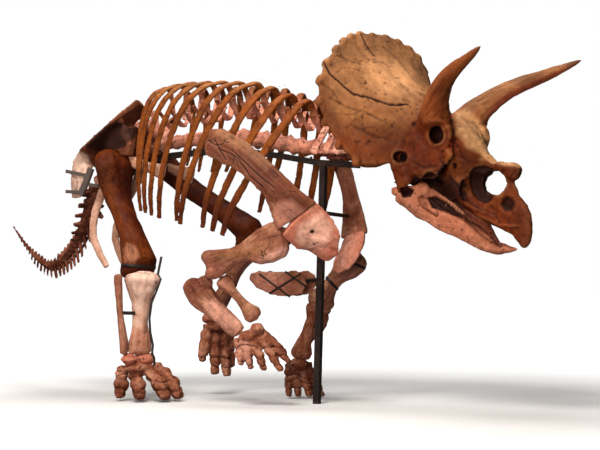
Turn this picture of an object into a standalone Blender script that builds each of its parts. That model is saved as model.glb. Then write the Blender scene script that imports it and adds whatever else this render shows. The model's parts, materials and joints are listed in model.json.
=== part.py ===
"""Mounted skeleton of a large horned dinosaur, striding, with its steel stand.

Metres, +Z up. The animal faces +X and its left side is +Y. The world origin is the
middle of the stand's foot on the floor. The bones are laid out in the skeleton's own
frame, whose x is measured from the hip joints, and hang from an empty that puts the
stand's foot at the origin. The head hangs from a second empty at the occiput.
"""

import math

import bmesh
import bpy
from mathutils import Matrix, Vector

# Sides of the animal
RIGHT = -1
LEFT = 1
SIDE_NAMES = {RIGHT: "right", LEFT: "left"}

# Gap kept between touching bones, and the offset of a neighbour that trims a bone
GAP = 0.0003
TRIM_OFFSETS = (0.0006, 0.0002)
WIDE_TRIM_OFFSETS = (0.0020, 0.0008)

# Faces closer than this to one plane count as one face
FLAT_ANGLE = math.radians(0.4)

# Joints of the skeleton: x from the hips, y half the distance between the sides, z up
HIP = Vector((0.0, 0.27, 2.04))
FOOT_X = 1.722
STAND_FOOT = Vector((FOOT_X, 0.0, 0.0))
OCCIPUT = Vector((2.366, 0.0, 1.99))
HEAD_YAW = math.radians(-14.0)
HEAD_PITCH = math.radians(26.0)
HEAD_ROLL = math.radians(2.0)

# Line through the centres of the vertebrae from the end of the sacrum to the neck
BACK_LINE = [
    (-0.40, 0.0, 1.80),
    (-0.02, 0.0, 2.02),
    (0.30, 0.0, 2.12),
    (0.70, 0.0, 2.145),
    (1.10, 0.0, 2.135),
    (1.50, 0.0, 2.065),
    (1.90, 0.0, 1.995),
    (2.30, 0.0, 1.985),
]
SACRUM_START_X = -0.40
DORSAL_START_X = 0.30
NECK_START_X = 1.83
NECK_END_X = 2.30
CENTRUM_RADIUS = 0.075

# Tail, swung to the left, from the sacrum to its tip
TAIL_LINE = [
    (-0.42, 0.0, 1.775),
    (-0.485, 0.015, 1.62),
    (-0.585, 0.08, 1.475),
    (-0.75, 0.19, 1.325),
    (-0.93, 0.31, 1.22),
    (-1.12, 0.43, 1.145),
    (-1.30, 0.53, 1.105),
    (-1.46, 0.63, 1.13),
    (-1.67, 0.755, 1.21),
    (-1.84, 0.86, 1.295),
    (-2.00, 0.96, 1.385),
    (-2.19, 1.08, 1.505),
]

# Tops of the neural spines as (x, z)
SPINE_TOPS = [
    (0.30, 2.500), (0.70, 2.560), (1.02, 2.640), (1.25, 2.605), (1.45, 2.550),
    (1.65, 2.475), (1.85, 2.380), (2.05, 2.290), (2.30, 2.210),
]

# Ribs on each side, the first at the rear
RIB_COUNT = 10
FIRST_RIB_X = 0.43
RIB_SPACING = 0.150
RIB_WIDTH = 0.046
RIB_WIDTH_GAIN = 0.024
RIB_THICKNESS = 0.030
RIB_TOPS = [2.570, 2.585, 2.590, 2.585, 2.575, 2.560, 2.545, 2.500, 2.440, 2.385]
RIB_SWEEPS = [0.180, 0.304, 0.385, 0.453, 0.505, 0.473, 0.580, 0.510, 0.558, 0.607]
RIB_LOW_REAR = 1.56
RIB_LOW_FALL = 0.23
RIB_BULGE_REAR = 0.34
RIB_BULGE_FRONT = 0.53
LEFT_SWEEP_SHARE = 0.45
LEFT_RIB_ENDS = [1.90, 1.90, 1.90, 1.90, 1.90, 1.55, 1.75, 1.50, 1.42, 1.36]

# How a rib leaves its top: (part of its drop, of its backward sweep, of its bulge)
REAR_RIB = [(0.02, 0.18, 0.62), (0.07, 0.38, 0.80), (0.18, 0.60, 0.94),
            (0.36, 0.80, 1.00), (0.60, 0.93, 0.99), (0.82, 1.00, 0.92),
            (1.00, 1.00, 0.82)]
MIDDLE_RIB = [(0.02, 0.12, 0.62), (0.07, 0.26, 0.80), (0.18, 0.42, 0.94),
              (0.36, 0.60, 1.00), (0.60, 0.79, 0.99), (0.82, 0.92, 0.92),
              (1.00, 1.00, 0.82)]
FRONT_RIB = [(0.02, 0.03, 0.52), (0.07, 0.08, 0.62), (0.18, 0.20, 0.72),
             (0.36, 0.40, 0.84), (0.60, 0.64, 0.96), (0.82, 0.86, 1.00),
             (1.00, 1.00, 0.96)]

# Stand
POST_TOP_X = 1.787
POST_HALF_WIDTH = 0.025
BEAM_HALF_DEPTH = 0.024
BEAM_HALF_WIDTH = 0.028
BEAM_START_X = -0.36
BEAM_END_X = 2.10
BEAM_STATIONS = 8
TAIL_ROD_RADIUS = 0.012

# Head, in its own frame: x forward from the occiput, z up
BROW_HORN_LINE = [
    (0.470, 0.245, 0.500, 0.122, 0.105),
    (0.502, 0.320, 0.620, 0.090, 0.080),
    (0.574, 0.405, 0.750, 0.070, 0.066),
    (0.680, 0.490, 0.872, 0.056, 0.054),
    (0.808, 0.568, 1.004, 0.038, 0.037),
    (0.890, 0.612, 1.088, 0.024, 0.023),
    (0.938, 0.638, 1.144, 0.008, 0.008),
]
HORN_RINGS = 10
HORN_SIDES = 10
FRILL_RIM = [
    (-0.550, 0.000, 0.750),
    (-0.535, 0.180, 0.745),
    (-0.495, 0.320, 0.722),
    (-0.450, 0.440, 0.675),
    (-0.405, 0.555, 0.590),
    (-0.365, 0.630, 0.460),
    (-0.305, 0.645, 0.290),
    (-0.205, 0.620, 0.130),
    (-0.010, 0.570, 0.005),
    (0.175, 0.515, -0.060),
]
FRILL_ROOT = [
    (0.330, 0.000, 0.450),
    (0.320, 0.090, 0.440),
    (0.310, 0.170, 0.400),
    (0.300, 0.220, 0.340),
    (0.290, 0.245, 0.270),
    (0.280, 0.262, 0.200),
    (0.270, 0.275, 0.140),
    (0.262, 0.285, 0.085),
    (0.258, 0.300, 0.035),
    (0.262, 0.325, -0.010),
]
FRILL_KNOBS = 21
FRILL_COLUMNS = 22
FRILL_ROWS = 3

FRILL_KNOB_REACH = 0.985
FRILL_KNOB_RADII = (0.062, 0.042, 0.032)
FRILL_ROOT_HALF_THICKNESS = 0.032
FRILL_RIM_HALF_THICKNESS = 0.019
FRILL_DISH = 0.035

# Part of the triangles that stays in each fused bone
KEEP_SKULL = 0.63
KEEP_FRILL = 0.52
KEEP_JAW = 0.60
KEEP_CAGE = 0.57
KEEP_NECK = 0.46
KEEP_SACRUM = 0.62
KEEP_TAIL = 0.52
KEEP_LIMB = 0.72
KEEP_FOREARM = 0.85
KEEP_FOOT = 0.56
KEEP_HAND = 0.44
KEEP_HIP = 0.60

BONE = (0.36, 0.19, 0.10)
DARK_BONE = (0.20, 0.085, 0.04)
PALE_BONE = (0.62, 0.38, 0.27)
PINK_BONE = (0.55, 0.25, 0.18)
HORN_BONE = (0.26, 0.11, 0.06)
STEEL = (0.045, 0.03, 0.022)


# Small tools

def clear_scene():
    """Empty the scene of objects."""
    for item in list(bpy.data.objects):
        bpy.data.objects.remove(item, do_unlink=True)


def lerp(a, b, t):
    """Value between a and b."""
    return a + (b - a) * t


def smooth_points(points, count):
    """Evenly numbered samples of the smooth curve through the points, of any width."""
    last = len(points) - 1
    samples = []
    for index in range(count):
        place = last * index / (count - 1)
        span = min(int(place), last - 1)
        t = place - span
        p0 = points[max(span - 1, 0)]
        p1 = points[span]
        p2 = points[span + 1]
        p3 = points[min(span + 2, last)]
        samples.append(tuple(
            0.5 * (2 * b + (c - a) * t + (2 * a - 5 * b + 4 * c - d) * t * t
                   + (3 * b - a - 3 * c + d) * t ** 3)
            for a, b, c, d in zip(p0, p1, p2, p3)))
    return samples


def back_point(x):
    """Centre of the vertebra at x on the back line."""
    samples = smooth_points(BACK_LINE, 141)
    for a, b in zip(samples, samples[1:]):
        if a[0] <= x <= b[0]:
            t = (x - a[0]) / (b[0] - a[0])
            return Vector((x, 0.0, lerp(a[2], b[2], t)))
    end = samples[0] if x < samples[0][0] else samples[-1]
    return Vector((x, 0.0, end[2]))


def section(centre, across, up, half_across, half_up, sides, squareness=2.0):
    """Ring of points on a superellipse: 2 is an ellipse, more is squarer."""
    ring = []
    for index in range(sides):
        angle = math.tau * index / sides
        c = math.cos(angle)
        s = math.sin(angle)
        a = math.copysign(abs(c) ** (2.0 / squareness), c) * half_across
        u = math.copysign(abs(s) ** (2.0 / squareness), s) * half_up
        ring.append(centre + across * a + up * u)
    return ring


def face_out(mesh_data):
    """Turn a closed bmesh so that its volume is positive."""
    if mesh_data.calc_volume(signed=True) < 0:
        bmesh.ops.reverse_faces(mesh_data, faces=mesh_data.faces[:])


def finish_mesh(mesh_data, name):
    """Close a bmesh into an object with its faces pointing out."""
    bmesh.ops.recalc_face_normals(mesh_data, faces=mesh_data.faces[:])
    face_out(mesh_data)
    mesh = bpy.data.meshes.new(name)
    mesh_data.to_mesh(mesh)
    mesh_data.free()
    item = bpy.data.objects.new(name, mesh)
    bpy.context.scene.collection.objects.link(item)
    return item


def loft(rings, dome=0.0):
    """Closed skin through rings of equal count.

    dome pushes each end's middle out by that part of the end ring's radius; an end
    without a dome is one flat face.
    """
    mesh = bmesh.new()
    loops = [[mesh.verts.new(point) for point in ring] for ring in rings]
    count = len(rings[0])
    for low, high in zip(loops, loops[1:]):
        for i in range(count):
            j = (i + 1) % count
            mesh.faces.new((low[i], low[j], high[j], high[i]))
    middles = [sum(ring, Vector()) / count for ring in rings]
    for loop, middle, inner, ring in (
            (loops[0], middles[0], middles[1], rings[0]),
            (loops[-1], middles[-1], middles[-2], rings[-1])):
        if not dome:
            mesh.faces.new(loop)
            continue
        radius = min((point - middle).length for point in ring)
        tip = middle + (middle - inner).normalized() * radius * dome
        apex = mesh.verts.new(tip)
        for i in range(count):
            mesh.faces.new((loop[i], loop[(i + 1) % count], apex))
    return finish_mesh(mesh, "loft")


def bone(path, across, sides=10, dome=0.5, squareness=2.0):
    """Bone along a path of (x, y, z, half across, half deep) stations.

    across is the direction of the bone's width.
    """
    points = [Vector(station[:3]) for station in path]
    rings = []
    for index, station in enumerate(path):
        before = points[max(index - 1, 0)]
        after = points[min(index + 1, len(points) - 1)]
        along = (after - before).normalized()
        side = (across - along * across.dot(along)).normalized()
        deep = along.cross(side)
        rings.append(section(points[index], side, deep, station[3], station[4], sides,
                             squareness))
    return loft(rings, dome)


def knob(centre, radii, turn=None, sides=8, bands=5):
    """Low ellipsoid, such as a condyle."""
    mesh = bmesh.new()
    bmesh.ops.create_uvsphere(mesh, u_segments=sides, v_segments=bands, radius=1.0)
    place = Matrix.Translation(Vector(centre))
    if turn is not None:
        place = place @ turn.to_4x4()
    size = Matrix.Diagonal((*radii, 1.0))
    bmesh.ops.transform(mesh, matrix=place @ size, verts=mesh.verts[:])
    return finish_mesh(mesh, "knob")


def block(low, high):
    """Box between two corners."""
    mesh = bmesh.new()
    bmesh.ops.create_cube(mesh, size=1.0)
    low = Vector(low)
    high = Vector(high)
    size = Matrix.Diagonal((*(high - low), 1.0))
    bmesh.ops.transform(mesh, matrix=Matrix.Translation((low + high) / 2) @ size,
                        verts=mesh.verts[:])
    return finish_mesh(mesh, "block")


def bar(points, across, half_across, half_deep):
    """Flat-ended bar of four sides through the points."""
    rings = []
    for index, point in enumerate(points):
        before = points[max(index - 1, 0)]
        after = points[min(index + 1, len(points) - 1)]
        along = (Vector(after) - Vector(before)).normalized()
        side = (across - along * across.dot(along)).normalized()
        deep = along.cross(side)
        centre = Vector(point)
        rings.append([centre + side * a * half_across + deep * d * half_deep
                      for a, d in ((1, 1), (-1, 1), (-1, -1), (1, -1))])
    return loft(rings)


def blade(root, tip, thin, root_size, tip_size):
    """Tapered flat process from root to tip: sizes are (length, thickness) halves."""
    along = (Vector(tip) - Vector(root)).normalized()
    side = (thin - along * thin.dot(along)).normalized()
    deep = along.cross(side)
    rings = []
    for centre, size in ((Vector(root), root_size), (Vector(tip), tip_size)):
        rings.append([centre + deep * a * size[0] + side * t * size[1]
                      for a, t in ((1, 1), (-1, 1), (-1, -1), (1, -1))])
    return loft(rings)


def evaluated(item):
    """Mesh of an object with its modifiers applied."""
    graph = bpy.context.evaluated_depsgraph_get()
    return bpy.data.meshes.new_from_object(item.evaluated_get(graph))


def discard(items):
    """Remove helper objects and their meshes."""
    for item in items:
        mesh = item.data
        bpy.data.objects.remove(item, do_unlink=True)
        bpy.data.meshes.remove(mesh)


def combine(item, others, operation):
    """Boolean of an object with a set of closed objects, applied."""
    holder = bpy.data.collections.new("pieces")
    for other in others:
        holder.objects.link(other)
    cut = item.modifiers.new("combine", "BOOLEAN")
    cut.operation = operation
    cut.operand_type = "COLLECTION"
    cut.collection = holder
    cut.solver = "MANIFOLD"
    mesh = evaluated(item)
    item.modifiers.remove(cut)
    old = item.data
    item.data = mesh
    bpy.data.meshes.remove(old)
    bpy.data.collections.remove(holder)
    discard(others)


def keep_largest(item):
    """Drop every closed surface of a mesh but the one with the largest area."""
    mesh = bmesh.new()
    mesh.from_mesh(item.data)
    left = set(mesh.faces)
    groups = []
    while left:
        seed = left.pop()
        group = [seed]
        front = [seed]
        while front:
            face = front.pop()
            for edge in face.edges:
                for other in edge.link_faces:
                    if other in left:
                        left.remove(other)
                        group.append(other)
                        front.append(other)
        groups.append(group)
    if len(groups) > 1:
        groups.sort(key=lambda faces: sum(face.calc_area() for face in faces))
        for group in groups[:-1]:
            bmesh.ops.delete(mesh, geom=group, context="FACES")
    bmesh.ops.dissolve_limit(mesh, angle_limit=FLAT_ANGLE, verts=mesh.verts[:],
                             edges=mesh.edges[:])
    bmesh.ops.triangulate(mesh, faces=mesh.faces[:])
    mesh.to_mesh(item.data)
    mesh.free()


def thin_out(item, keep):
    """Collapse a mesh to a part of its triangles."""
    collapse = item.modifiers.new("thin_out", "DECIMATE")
    collapse.ratio = keep
    mesh = evaluated(item)
    item.modifiers.remove(collapse)
    old = item.data
    item.data = mesh
    bpy.data.meshes.remove(old)


def fuse(name, pieces, keep=1.0):
    """One closed body from overlapping closed pieces.

    keep is the part of the triangles that stays.
    """
    base = pieces[0]
    if len(pieces) > 1:
        combine(base, pieces[1:], "UNION")
    keep_largest(base)
    if keep < 1.0:
        thin_out(base, keep)
    base.name = name
    base.data.name = name
    return base


def carve(item, cutters):
    """Cut closed shapes out of an object."""
    combine(item, cutters, "DIFFERENCE")
    keep_largest(item)
    return item


def grown_copy(item, offset, matrix):
    """Copy of a neighbour, a little larger, in another object's frame."""
    mesh = bmesh.new()
    mesh.from_mesh(item.data)
    mesh.normal_update()
    places = [(vert, vert.co + vert.normal * offset * vert.calc_shell_factor())
              for vert in mesh.verts]
    for vert, place in places:
        vert.co = place
    bmesh.ops.transform(mesh, matrix=matrix, verts=mesh.verts[:])
    data = bpy.data.meshes.new("neighbour")
    mesh.to_mesh(data)
    mesh.free()
    copy = bpy.data.objects.new("neighbour", data)
    bpy.context.scene.collection.objects.link(copy)
    return copy


def trim(item, neighbours, offsets=TRIM_OFFSETS):
    """Cut a bone back from the neighbours that it seats against."""
    frame = world_of(item)
    for other in neighbours:
        for offset in offsets:
            cutter = grown_copy(other, offset, frame.inverted() @ world_of(other))
            cutter.matrix_basis = frame
            carve(item, [cutter])
    return item


def world_of(item):
    """World matrix worked out from parents, without a scene update."""
    if item.parent is None:
        return item.matrix_basis.copy()
    return world_of(item.parent) @ item.matrix_basis


def dress(item, colour, roughness=0.75, metallic=0.0):
    """Give a sub-part its own material."""
    material = bpy.data.materials.new(item.name + "_finish")
    material.use_nodes = True
    shader = material.node_tree.nodes["Principled BSDF"]
    shader.inputs["Base Color"].default_value = (*colour, 1.0)
    shader.inputs["Roughness"].default_value = roughness
    shader.inputs["Metallic"].default_value = metallic
    item.data.materials.clear()
    item.data.materials.append(material)
    if metallic < 0.5:
        item.data.shade_smooth()
        item.data.set_sharp_from_angle(angle=math.radians(40.0))
    return item


# Long bones, built in the frame of their own axis

def axis_frame(start, end, out, hand=LEFT):
    """Matrix whose Z runs from start to end and whose X lies near the out direction.

    hand turns the front direction over for the bones of the other side.
    """
    along = (end - start).normalized()
    side = (out - along * out.dot(along)).normalized()
    front = along.cross(side) * hand
    turn = Matrix((side, front, along)).transposed()
    return Matrix.Translation(start) @ turn.to_4x4()


def limb_bone(start, end, out, stations, knobs=(), sides=10, dome=0.5, hand=LEFT):
    """Pieces of a long bone.

    stations are (part of the length, outward shift, forward shift, half width, half
    depth). knobs are (part of the length, outward, forward, radii out, front, along).
    """
    place = axis_frame(start, end, out, hand)
    length = (end - start).length
    rings = []
    for along, shift_out, shift_front, half_out, half_front in stations:
        centre = Vector((shift_out, shift_front, along * length))
        ring = section(centre, Vector((1, 0, 0)), Vector((0, 1, 0)), half_out,
                       half_front, sides)
        rings.append([place @ point for point in ring])
    pieces = [loft(rings, dome)]
    for along, shift_out, shift_front, radii in knobs:
        centre = place @ Vector((shift_out, shift_front, along * length))
        pieces.append(knob(centre, radii, place.to_3x3()))
    return pieces


# Head

def head_frame(parent):
    """Empty at the occiput, turned as the head is carried."""
    empty = bpy.data.objects.new("head", None)
    bpy.context.scene.collection.objects.link(empty)
    turn = (Matrix.Rotation(HEAD_YAW, 4, "Z") @ Matrix.Rotation(HEAD_PITCH, 4, "Y")
            @ Matrix.Rotation(HEAD_ROLL, 4, "X"))
    empty.matrix_basis = Matrix.Translation(OCCIPUT) @ turn
    empty.parent = parent
    return empty


def profile_loft(stations, sides=12, squareness=2.4, dome=0.2):
    """Symmetric form along the head from (x, half width, low z, high z) stations."""
    rings = []
    for x, half_width, low, high in stations:
        centre = Vector((x, 0.0, (low + high) / 2))
        rings.append(section(centre, Vector((0, 1, 0)), Vector((0, 0, 1)), half_width,
                             (high - low) / 2, sides, squareness))
    return loft(rings, dome)


def build_skull():
    """Braincase, face and cheeks in one bone, with its openings cut."""
    pieces = [profile_loft([
        (0.03, 0.085, -0.060, 0.110),
        (0.12, 0.165, -0.055, 0.230),
        (0.24, 0.225, 0.020, 0.385),
        (0.38, 0.250, 0.090, 0.465),
        (0.54, 0.250, 0.120, 0.480),
        (0.66, 0.205, 0.110, 0.450),
        (0.76, 0.150, 0.060, 0.392),
        (0.86, 0.108, 0.010, 0.345),
        (0.96, 0.078, -0.020, 0.322),
        (1.06, 0.060, -0.030, 0.285),
        (1.14, 0.050, -0.060, 0.262),
        (1.19, 0.046, -0.100, 0.222),
        (1.24, 0.044, -0.118, 0.175),
        (1.30, 0.042, -0.125, 0.158),
    ], dome=0.0)]
    pieces.append(profile_loft([
        (0.10, 0.100, -0.060, 0.100),
        (0.30, 0.140, -0.070, 0.200),
        (0.50, 0.165, -0.085, 0.240),
        (0.70, 0.165, -0.100, 0.220),
        (0.84, 0.140, -0.110, 0.160),
        (0.98, 0.105, -0.118, 0.060),
        (1.10, 0.072, -0.130, 0.000),
        (1.20, 0.052, -0.122, -0.020),
        (1.30, 0.042, -0.125, -0.010),
    ], dome=0.0))
    pieces.append(knob((0.0, 0.0, 0.02), (0.062, 0.055, 0.055), sides=8, bands=4))
    for side in (RIGHT, LEFT):
        forward = Vector((1, 0, 0))
        pieces.append(bone([
            (0.47, 0.205 * side, 0.330, 0.210, 0.055),
            (0.49, 0.240 * side, 0.220, 0.250, 0.055),
            (0.50, 0.262 * side, 0.130, 0.240, 0.050),
            (0.44, 0.285 * side, 0.060, 0.160, 0.046),
            (0.44, 0.305 * side, -0.010, 0.100, 0.042),
            (0.465, 0.325 * side, -0.080, 0.055, 0.036),
            (0.480, 0.335 * side, -0.125, 0.020, 0.020),
        ], forward, sides=8))
        pieces.append(bone([
            (0.25, 0.250 * side, 0.200, 0.060, 0.050),
            (0.28, 0.290 * side, 0.080, 0.050, 0.042),
            (0.35, 0.300 * side, -0.020, 0.045, 0.040),
            (0.425, 0.295 * side, -0.105, 0.036, 0.036),
            (0.455, 0.290 * side, -0.150, 0.022, 0.034),
        ], forward, sides=8))
        pieces.append(bone([
            (0.340, 0.165 * side, -0.060, 0.060, 0.034),
            (0.450, 0.168 * side, -0.090, 0.095, 0.036),
            (0.560, 0.166 * side, -0.105, 0.085, 0.034),
            (0.700, 0.140 * side, -0.135, 0.060, 0.026),
            (0.840, 0.112 * side, -0.155, 0.045, 0.022),
            (0.960, 0.078 * side, -0.150, 0.030, 0.018),
        ], Vector((0, 0, 1)), sides=6))
        pieces.append(bone([
            (0.44, 0.150 * side, 0.330, 0.150, 0.120),
            (0.46, 0.205 * side, 0.430, 0.140, 0.115),
            (0.474, 0.2445 * side, 0.4985, 0.129, 0.106),
        ], forward, sides=12, dome=0.0))
        pieces.append(knob((0.550, 0.215 * side, 0.335), (0.135, 0.085, 0.140),
                           Matrix.Rotation(math.radians(-18.0), 3, "Y"), sides=10,
                           bands=6))
    skull = fuse("skull", pieces, KEEP_SKULL)
    cutters = []
    for side in (RIGHT, LEFT):
        tilt = Matrix.Rotation(math.radians(-18.0), 3, "Y")
        cutters.append(knob((0.560, 0.270 * side, 0.342), (0.060, 0.110, 0.070), tilt,
                            sides=10, bands=6))
        cutters.append(knob((0.355, 0.340 * side, 0.083), (0.070, 0.120, 0.050),
                            Matrix.Rotation(math.radians(-20.0), 3, "Y"), bands=4))
        cutters.append(knob((0.765, 0.200 * side, 0.180), (0.020, 0.080, 0.032),
                            sides=6, bands=4))
        nostril = Matrix.Rotation(math.radians(24.0), 3, "Y")
        cutters.append(knob((0.975, 0.110 * side, 0.085), (0.150, 0.075, 0.140),
                            nostril, sides=10, bands=6))
        cutters.append(knob((1.215, 0.068 * side, 0.055), (0.082, 0.042, 0.072),
                            bands=4))
    cutters.append(knob((1.043, 0.0, 0.172), (0.104, 0.30, 0.094),
                        Matrix.Rotation(math.radians(-24.0), 3, "Y"), sides=12,
                        bands=6))
    for cutter in cutters:
        carve(skull, [cutter])
    return dress(skull, BONE)


def build_nose_horn(skull, head):
    """Blunt horn that crowns the nostrils."""
    horn = fuse("nose_horn", [profile_loft([
        (0.975, 0.042, 0.270, 0.330),
        (1.040, 0.056, 0.252, 0.345),
        (1.100, 0.058, 0.240, 0.362),
        (1.150, 0.050, 0.240, 0.372),
        (1.184, 0.032, 0.265, 0.358),
    ], sides=10, dome=0.3)])
    horn.parent = head
    trim(horn, [skull])
    return dress(horn, BONE)


def build_beak():
    """Hooked bone of the upper beak, seated on the snout's flat front."""
    start = 1.30 + GAP * 2
    beak = fuse("beak", [profile_loft([
        (start, 0.042, -0.125, 0.158),
        (1.345, 0.040, -0.142, 0.138),
        (1.395, 0.036, -0.158, 0.090),
        (1.432, 0.028, -0.172, 0.030),
        (1.458, 0.018, -0.160, -0.030),
        (1.466, 0.008, -0.140, -0.070),
    ], sides=12, dome=0.0)])
    return dress(beak, BONE)


def build_brow_horn(side):
    """Long forward-swept horn core over one eye."""
    path = [(x, y * side, z, wide, deep) for x, y, z, wide, deep in BROW_HORN_LINE]
    base = Vector(path[0][:3])
    along = (Vector(path[1][:3]) - base).normalized()
    lifted = base + along * GAP * 3
    path[0] = (*lifted, path[0][3], path[0][4])
    path = smooth_points(path, HORN_RINGS)
    horn = bone(path, Vector((1, 0, 0)), sides=HORN_SIDES, dome=0.0)
    fuse("brow_horn_" + SIDE_NAMES[side], [horn])
    return horn


def frill_point(turn, reach):
    """Point on the frill's middle sheet.

    turn runs from -1 at the right lower corner over 0 at the top to 1 at the left
    corner, and reach from 0 at the skull to 1 at the rim.
    """
    place = abs(turn) * (len(FRILL_RIM) - 1)
    span = min(int(place), len(FRILL_RIM) - 2)
    t = place - span
    root = Vector(FRILL_ROOT[span]).lerp(Vector(FRILL_ROOT[span + 1]), t)
    rim = Vector(smooth_points(FRILL_RIM, 64)[round(abs(turn) * 63)])
    middle = root.lerp(rim, reach)
    dish = FRILL_DISH * math.sin(math.pi * reach)
    middle += Vector((0.35, 0.0, -1.0)).normalized() * dish * (1 - 0.6 * abs(turn))
    middle.y *= 1 if turn >= 0 else -1
    return middle


def build_frill(skull, head):
    """Bony shield behind the skull, with a row of knobs along its rim."""
    columns = FRILL_COLUMNS
    rows = FRILL_ROWS
    grid = []
    for column in range(columns + 1):
        turn = 2.0 * column / columns - 1.0
        grid.append([frill_point(turn, row / rows) for row in range(rows + 1)])
    normals = []
    for column in range(columns + 1):
        line = []
        for row in range(rows + 1):
            before = grid[max(column - 1, 0)][row]
            after = grid[min(column + 1, columns)][row]
            inner = grid[column][max(row - 1, 0)]
            outer = grid[column][min(row + 1, rows)]
            line.append((after - before).cross(outer - inner).normalized())
        normals.append(line)
    mesh = bmesh.new()
    faces = []
    for direction in (1, -1):
        sheet = []
        for column in range(columns + 1):
            line = []
            for row in range(rows + 1):
                half = lerp(FRILL_ROOT_HALF_THICKNESS, FRILL_RIM_HALF_THICKNESS,
                            row / rows)
                line.append(mesh.verts.new(grid[column][row]
                                           + normals[column][row] * half * direction))
            sheet.append(line)
        faces.append(sheet)
    for sheet in faces:
        for column in range(columns):
            for row in range(rows):
                a = sheet[column][row]
                b = sheet[column + 1][row]
                c = sheet[column + 1][row + 1]
                d = sheet[column][row + 1]
                mesh.faces.new((a, b, c))
                mesh.faces.new((a, c, d))
    top, under = faces
    for row in range(rows):
        for column in (0, columns):
            mesh.faces.new((top[column][row], top[column][row + 1],
                            under[column][row + 1], under[column][row]))
    for column in range(columns):
        for row in (0, rows):
            mesh.faces.new((top[column][row], top[column + 1][row],
                            under[column + 1][row], under[column][row]))
    pieces = [finish_mesh(mesh, "frill")]
    for index in range(FRILL_KNOBS):
        turn = 0.97 * (2.0 * index / (FRILL_KNOBS - 1) - 1.0)
        point = frill_point(turn, FRILL_KNOB_REACH)
        outward = (point - frill_point(turn, 0.8)).normalized()
        step = frill_point(min(turn + 0.03, 1.0), FRILL_KNOB_REACH)
        along = step - point
        along = (along - outward * along.dot(outward)).normalized()
        turn_matrix = Matrix((along, outward, along.cross(outward))).transposed()
        pieces.append(knob(point, FRILL_KNOB_RADII, turn_matrix, sides=6, bands=3))
    frill = fuse("frill", pieces, KEEP_FRILL)
    frill.parent = head
    trim(frill, [skull], WIDE_TRIM_OFFSETS)
    return dress(frill, BONE)


def build_jaw(skull, head):
    """Lower jaw: both rami, the coronoid processes and the toothless front."""
    pieces = []
    up = Vector((0, 0, 1))
    for side in (RIGHT, LEFT):
        pieces.append(bone([
            (0.440, 0.298 * side, -0.222, 0.022, 0.026),
            (0.480, 0.294 * side, -0.208, 0.044, 0.034),
            (0.545, 0.280 * side, -0.190, 0.072, 0.040),
            (0.640, 0.252 * side, -0.192, 0.092, 0.044),
            (0.780, 0.212 * side, -0.214, 0.084, 0.046),
            (0.960, 0.150 * side, -0.226, 0.080, 0.044),
            (1.090, 0.092 * side, -0.256, 0.060, 0.040),
            (1.200, 0.046 * side, -0.270, 0.044, 0.036),
            (1.270, 0.014 * side, -0.266, 0.036, 0.030),
        ], up, sides=10))
        pieces.append(bone([
            (0.575, 0.262 * side, -0.170, 0.115, 0.034),
            (0.585, 0.250 * side, -0.105, 0.085, 0.030),
            (0.600, 0.240 * side, -0.055, 0.062, 0.026),
            (0.610, 0.234 * side, -0.028, 0.034, 0.020),
        ], Vector((1, 0, 0)), sides=8))
        pieces.append(knob((0.452, 0.292 * side, -0.178), (0.030, 0.028, 0.034), sides=6,
                           bands=4))
    pieces.append(bone([
        (1.180, 0.0, -0.268, 0.045, 0.050),
        (1.260, 0.0, -0.252, 0.046, 0.044),
        (1.330, 0.0, -0.224, 0.030, 0.026),
        (1.392, 0.0, -0.196, 0.008, 0.008),
    ], up, sides=10, dome=0.2))
    jaw = fuse("lower_jaw", pieces, KEEP_JAW)
    for side in (RIGHT, LEFT):
        carve(jaw, [bone([
            (0.625, 0.285 * side, -0.125, 0.030, 0.034),
            (0.690, 0.268 * side, -0.152, 0.044, 0.034),
            (0.800, 0.236 * side, -0.190, 0.022, 0.024),
        ], up, sides=6)])
    jaw.parent = head
    trim(jaw, [skull])
    return dress(jaw, PINK_BONE)


def build_head(parent):
    """All bones of the head, by name."""
    head = head_frame(parent)
    skull = build_skull()
    skull.parent = head
    for side in (RIGHT, LEFT):
        horn = build_brow_horn(side)
        horn.parent = head
        trim(horn, [skull])
        dress(horn, HORN_BONE)
    build_nose_horn(skull, head)
    build_beak().parent = head
    frill = build_frill(skull, head)
    build_jaw(skull, head)
    return {"skull": skull, "frill": frill}


# Back, neck and tail

def vertebra_pieces(x, spine_top, spine_half_length, process_reach, process_rise):
    """Neural arch and spine, and the side processes, of one vertebra."""
    centre = back_point(x)
    arch_top = centre.z + 0.20
    pieces = [blade((x + 0.006, 0.0, centre.z), (x - 0.03, 0.0, spine_top),
                    Vector((0, 1, 0)), (0.036, 0.048), (spine_half_length, 0.014))]
    for side in (RIGHT, LEFT):
        pieces.append(blade(
            (x, 0.01 * side, arch_top - 0.03),
            (x - 0.02, process_reach * side, arch_top + process_rise), Vector((0, 0, 1)),
            (0.028, 0.016), (0.022, 0.013)))
    return pieces


def centrum_chain(start_x, end_x, count, radius):
    """Spool-shaped centra in a row along the back line, as one closed form."""
    path = []
    for index in range(2 * count + 1):
        x = lerp(start_x, end_x, index / (2 * count))
        centre = back_point(x)
        size = radius if index % 2 == 0 else radius * 0.82
        path.append((centre.x, 0.0, centre.z, size, size * 1.05))
    return bone(path, Vector((0, 1, 0)), sides=8, dome=0.0)


def spine_height(x):
    """Top of the neural spines at x along the back."""
    heights = smooth_points(SPINE_TOPS, 81)
    for a, b in zip(heights, heights[1:]):
        if x <= b[0]:
            return lerp(a[1], b[1], (x - a[0]) / (b[0] - a[0]))
    return heights[-1][1]


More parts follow.
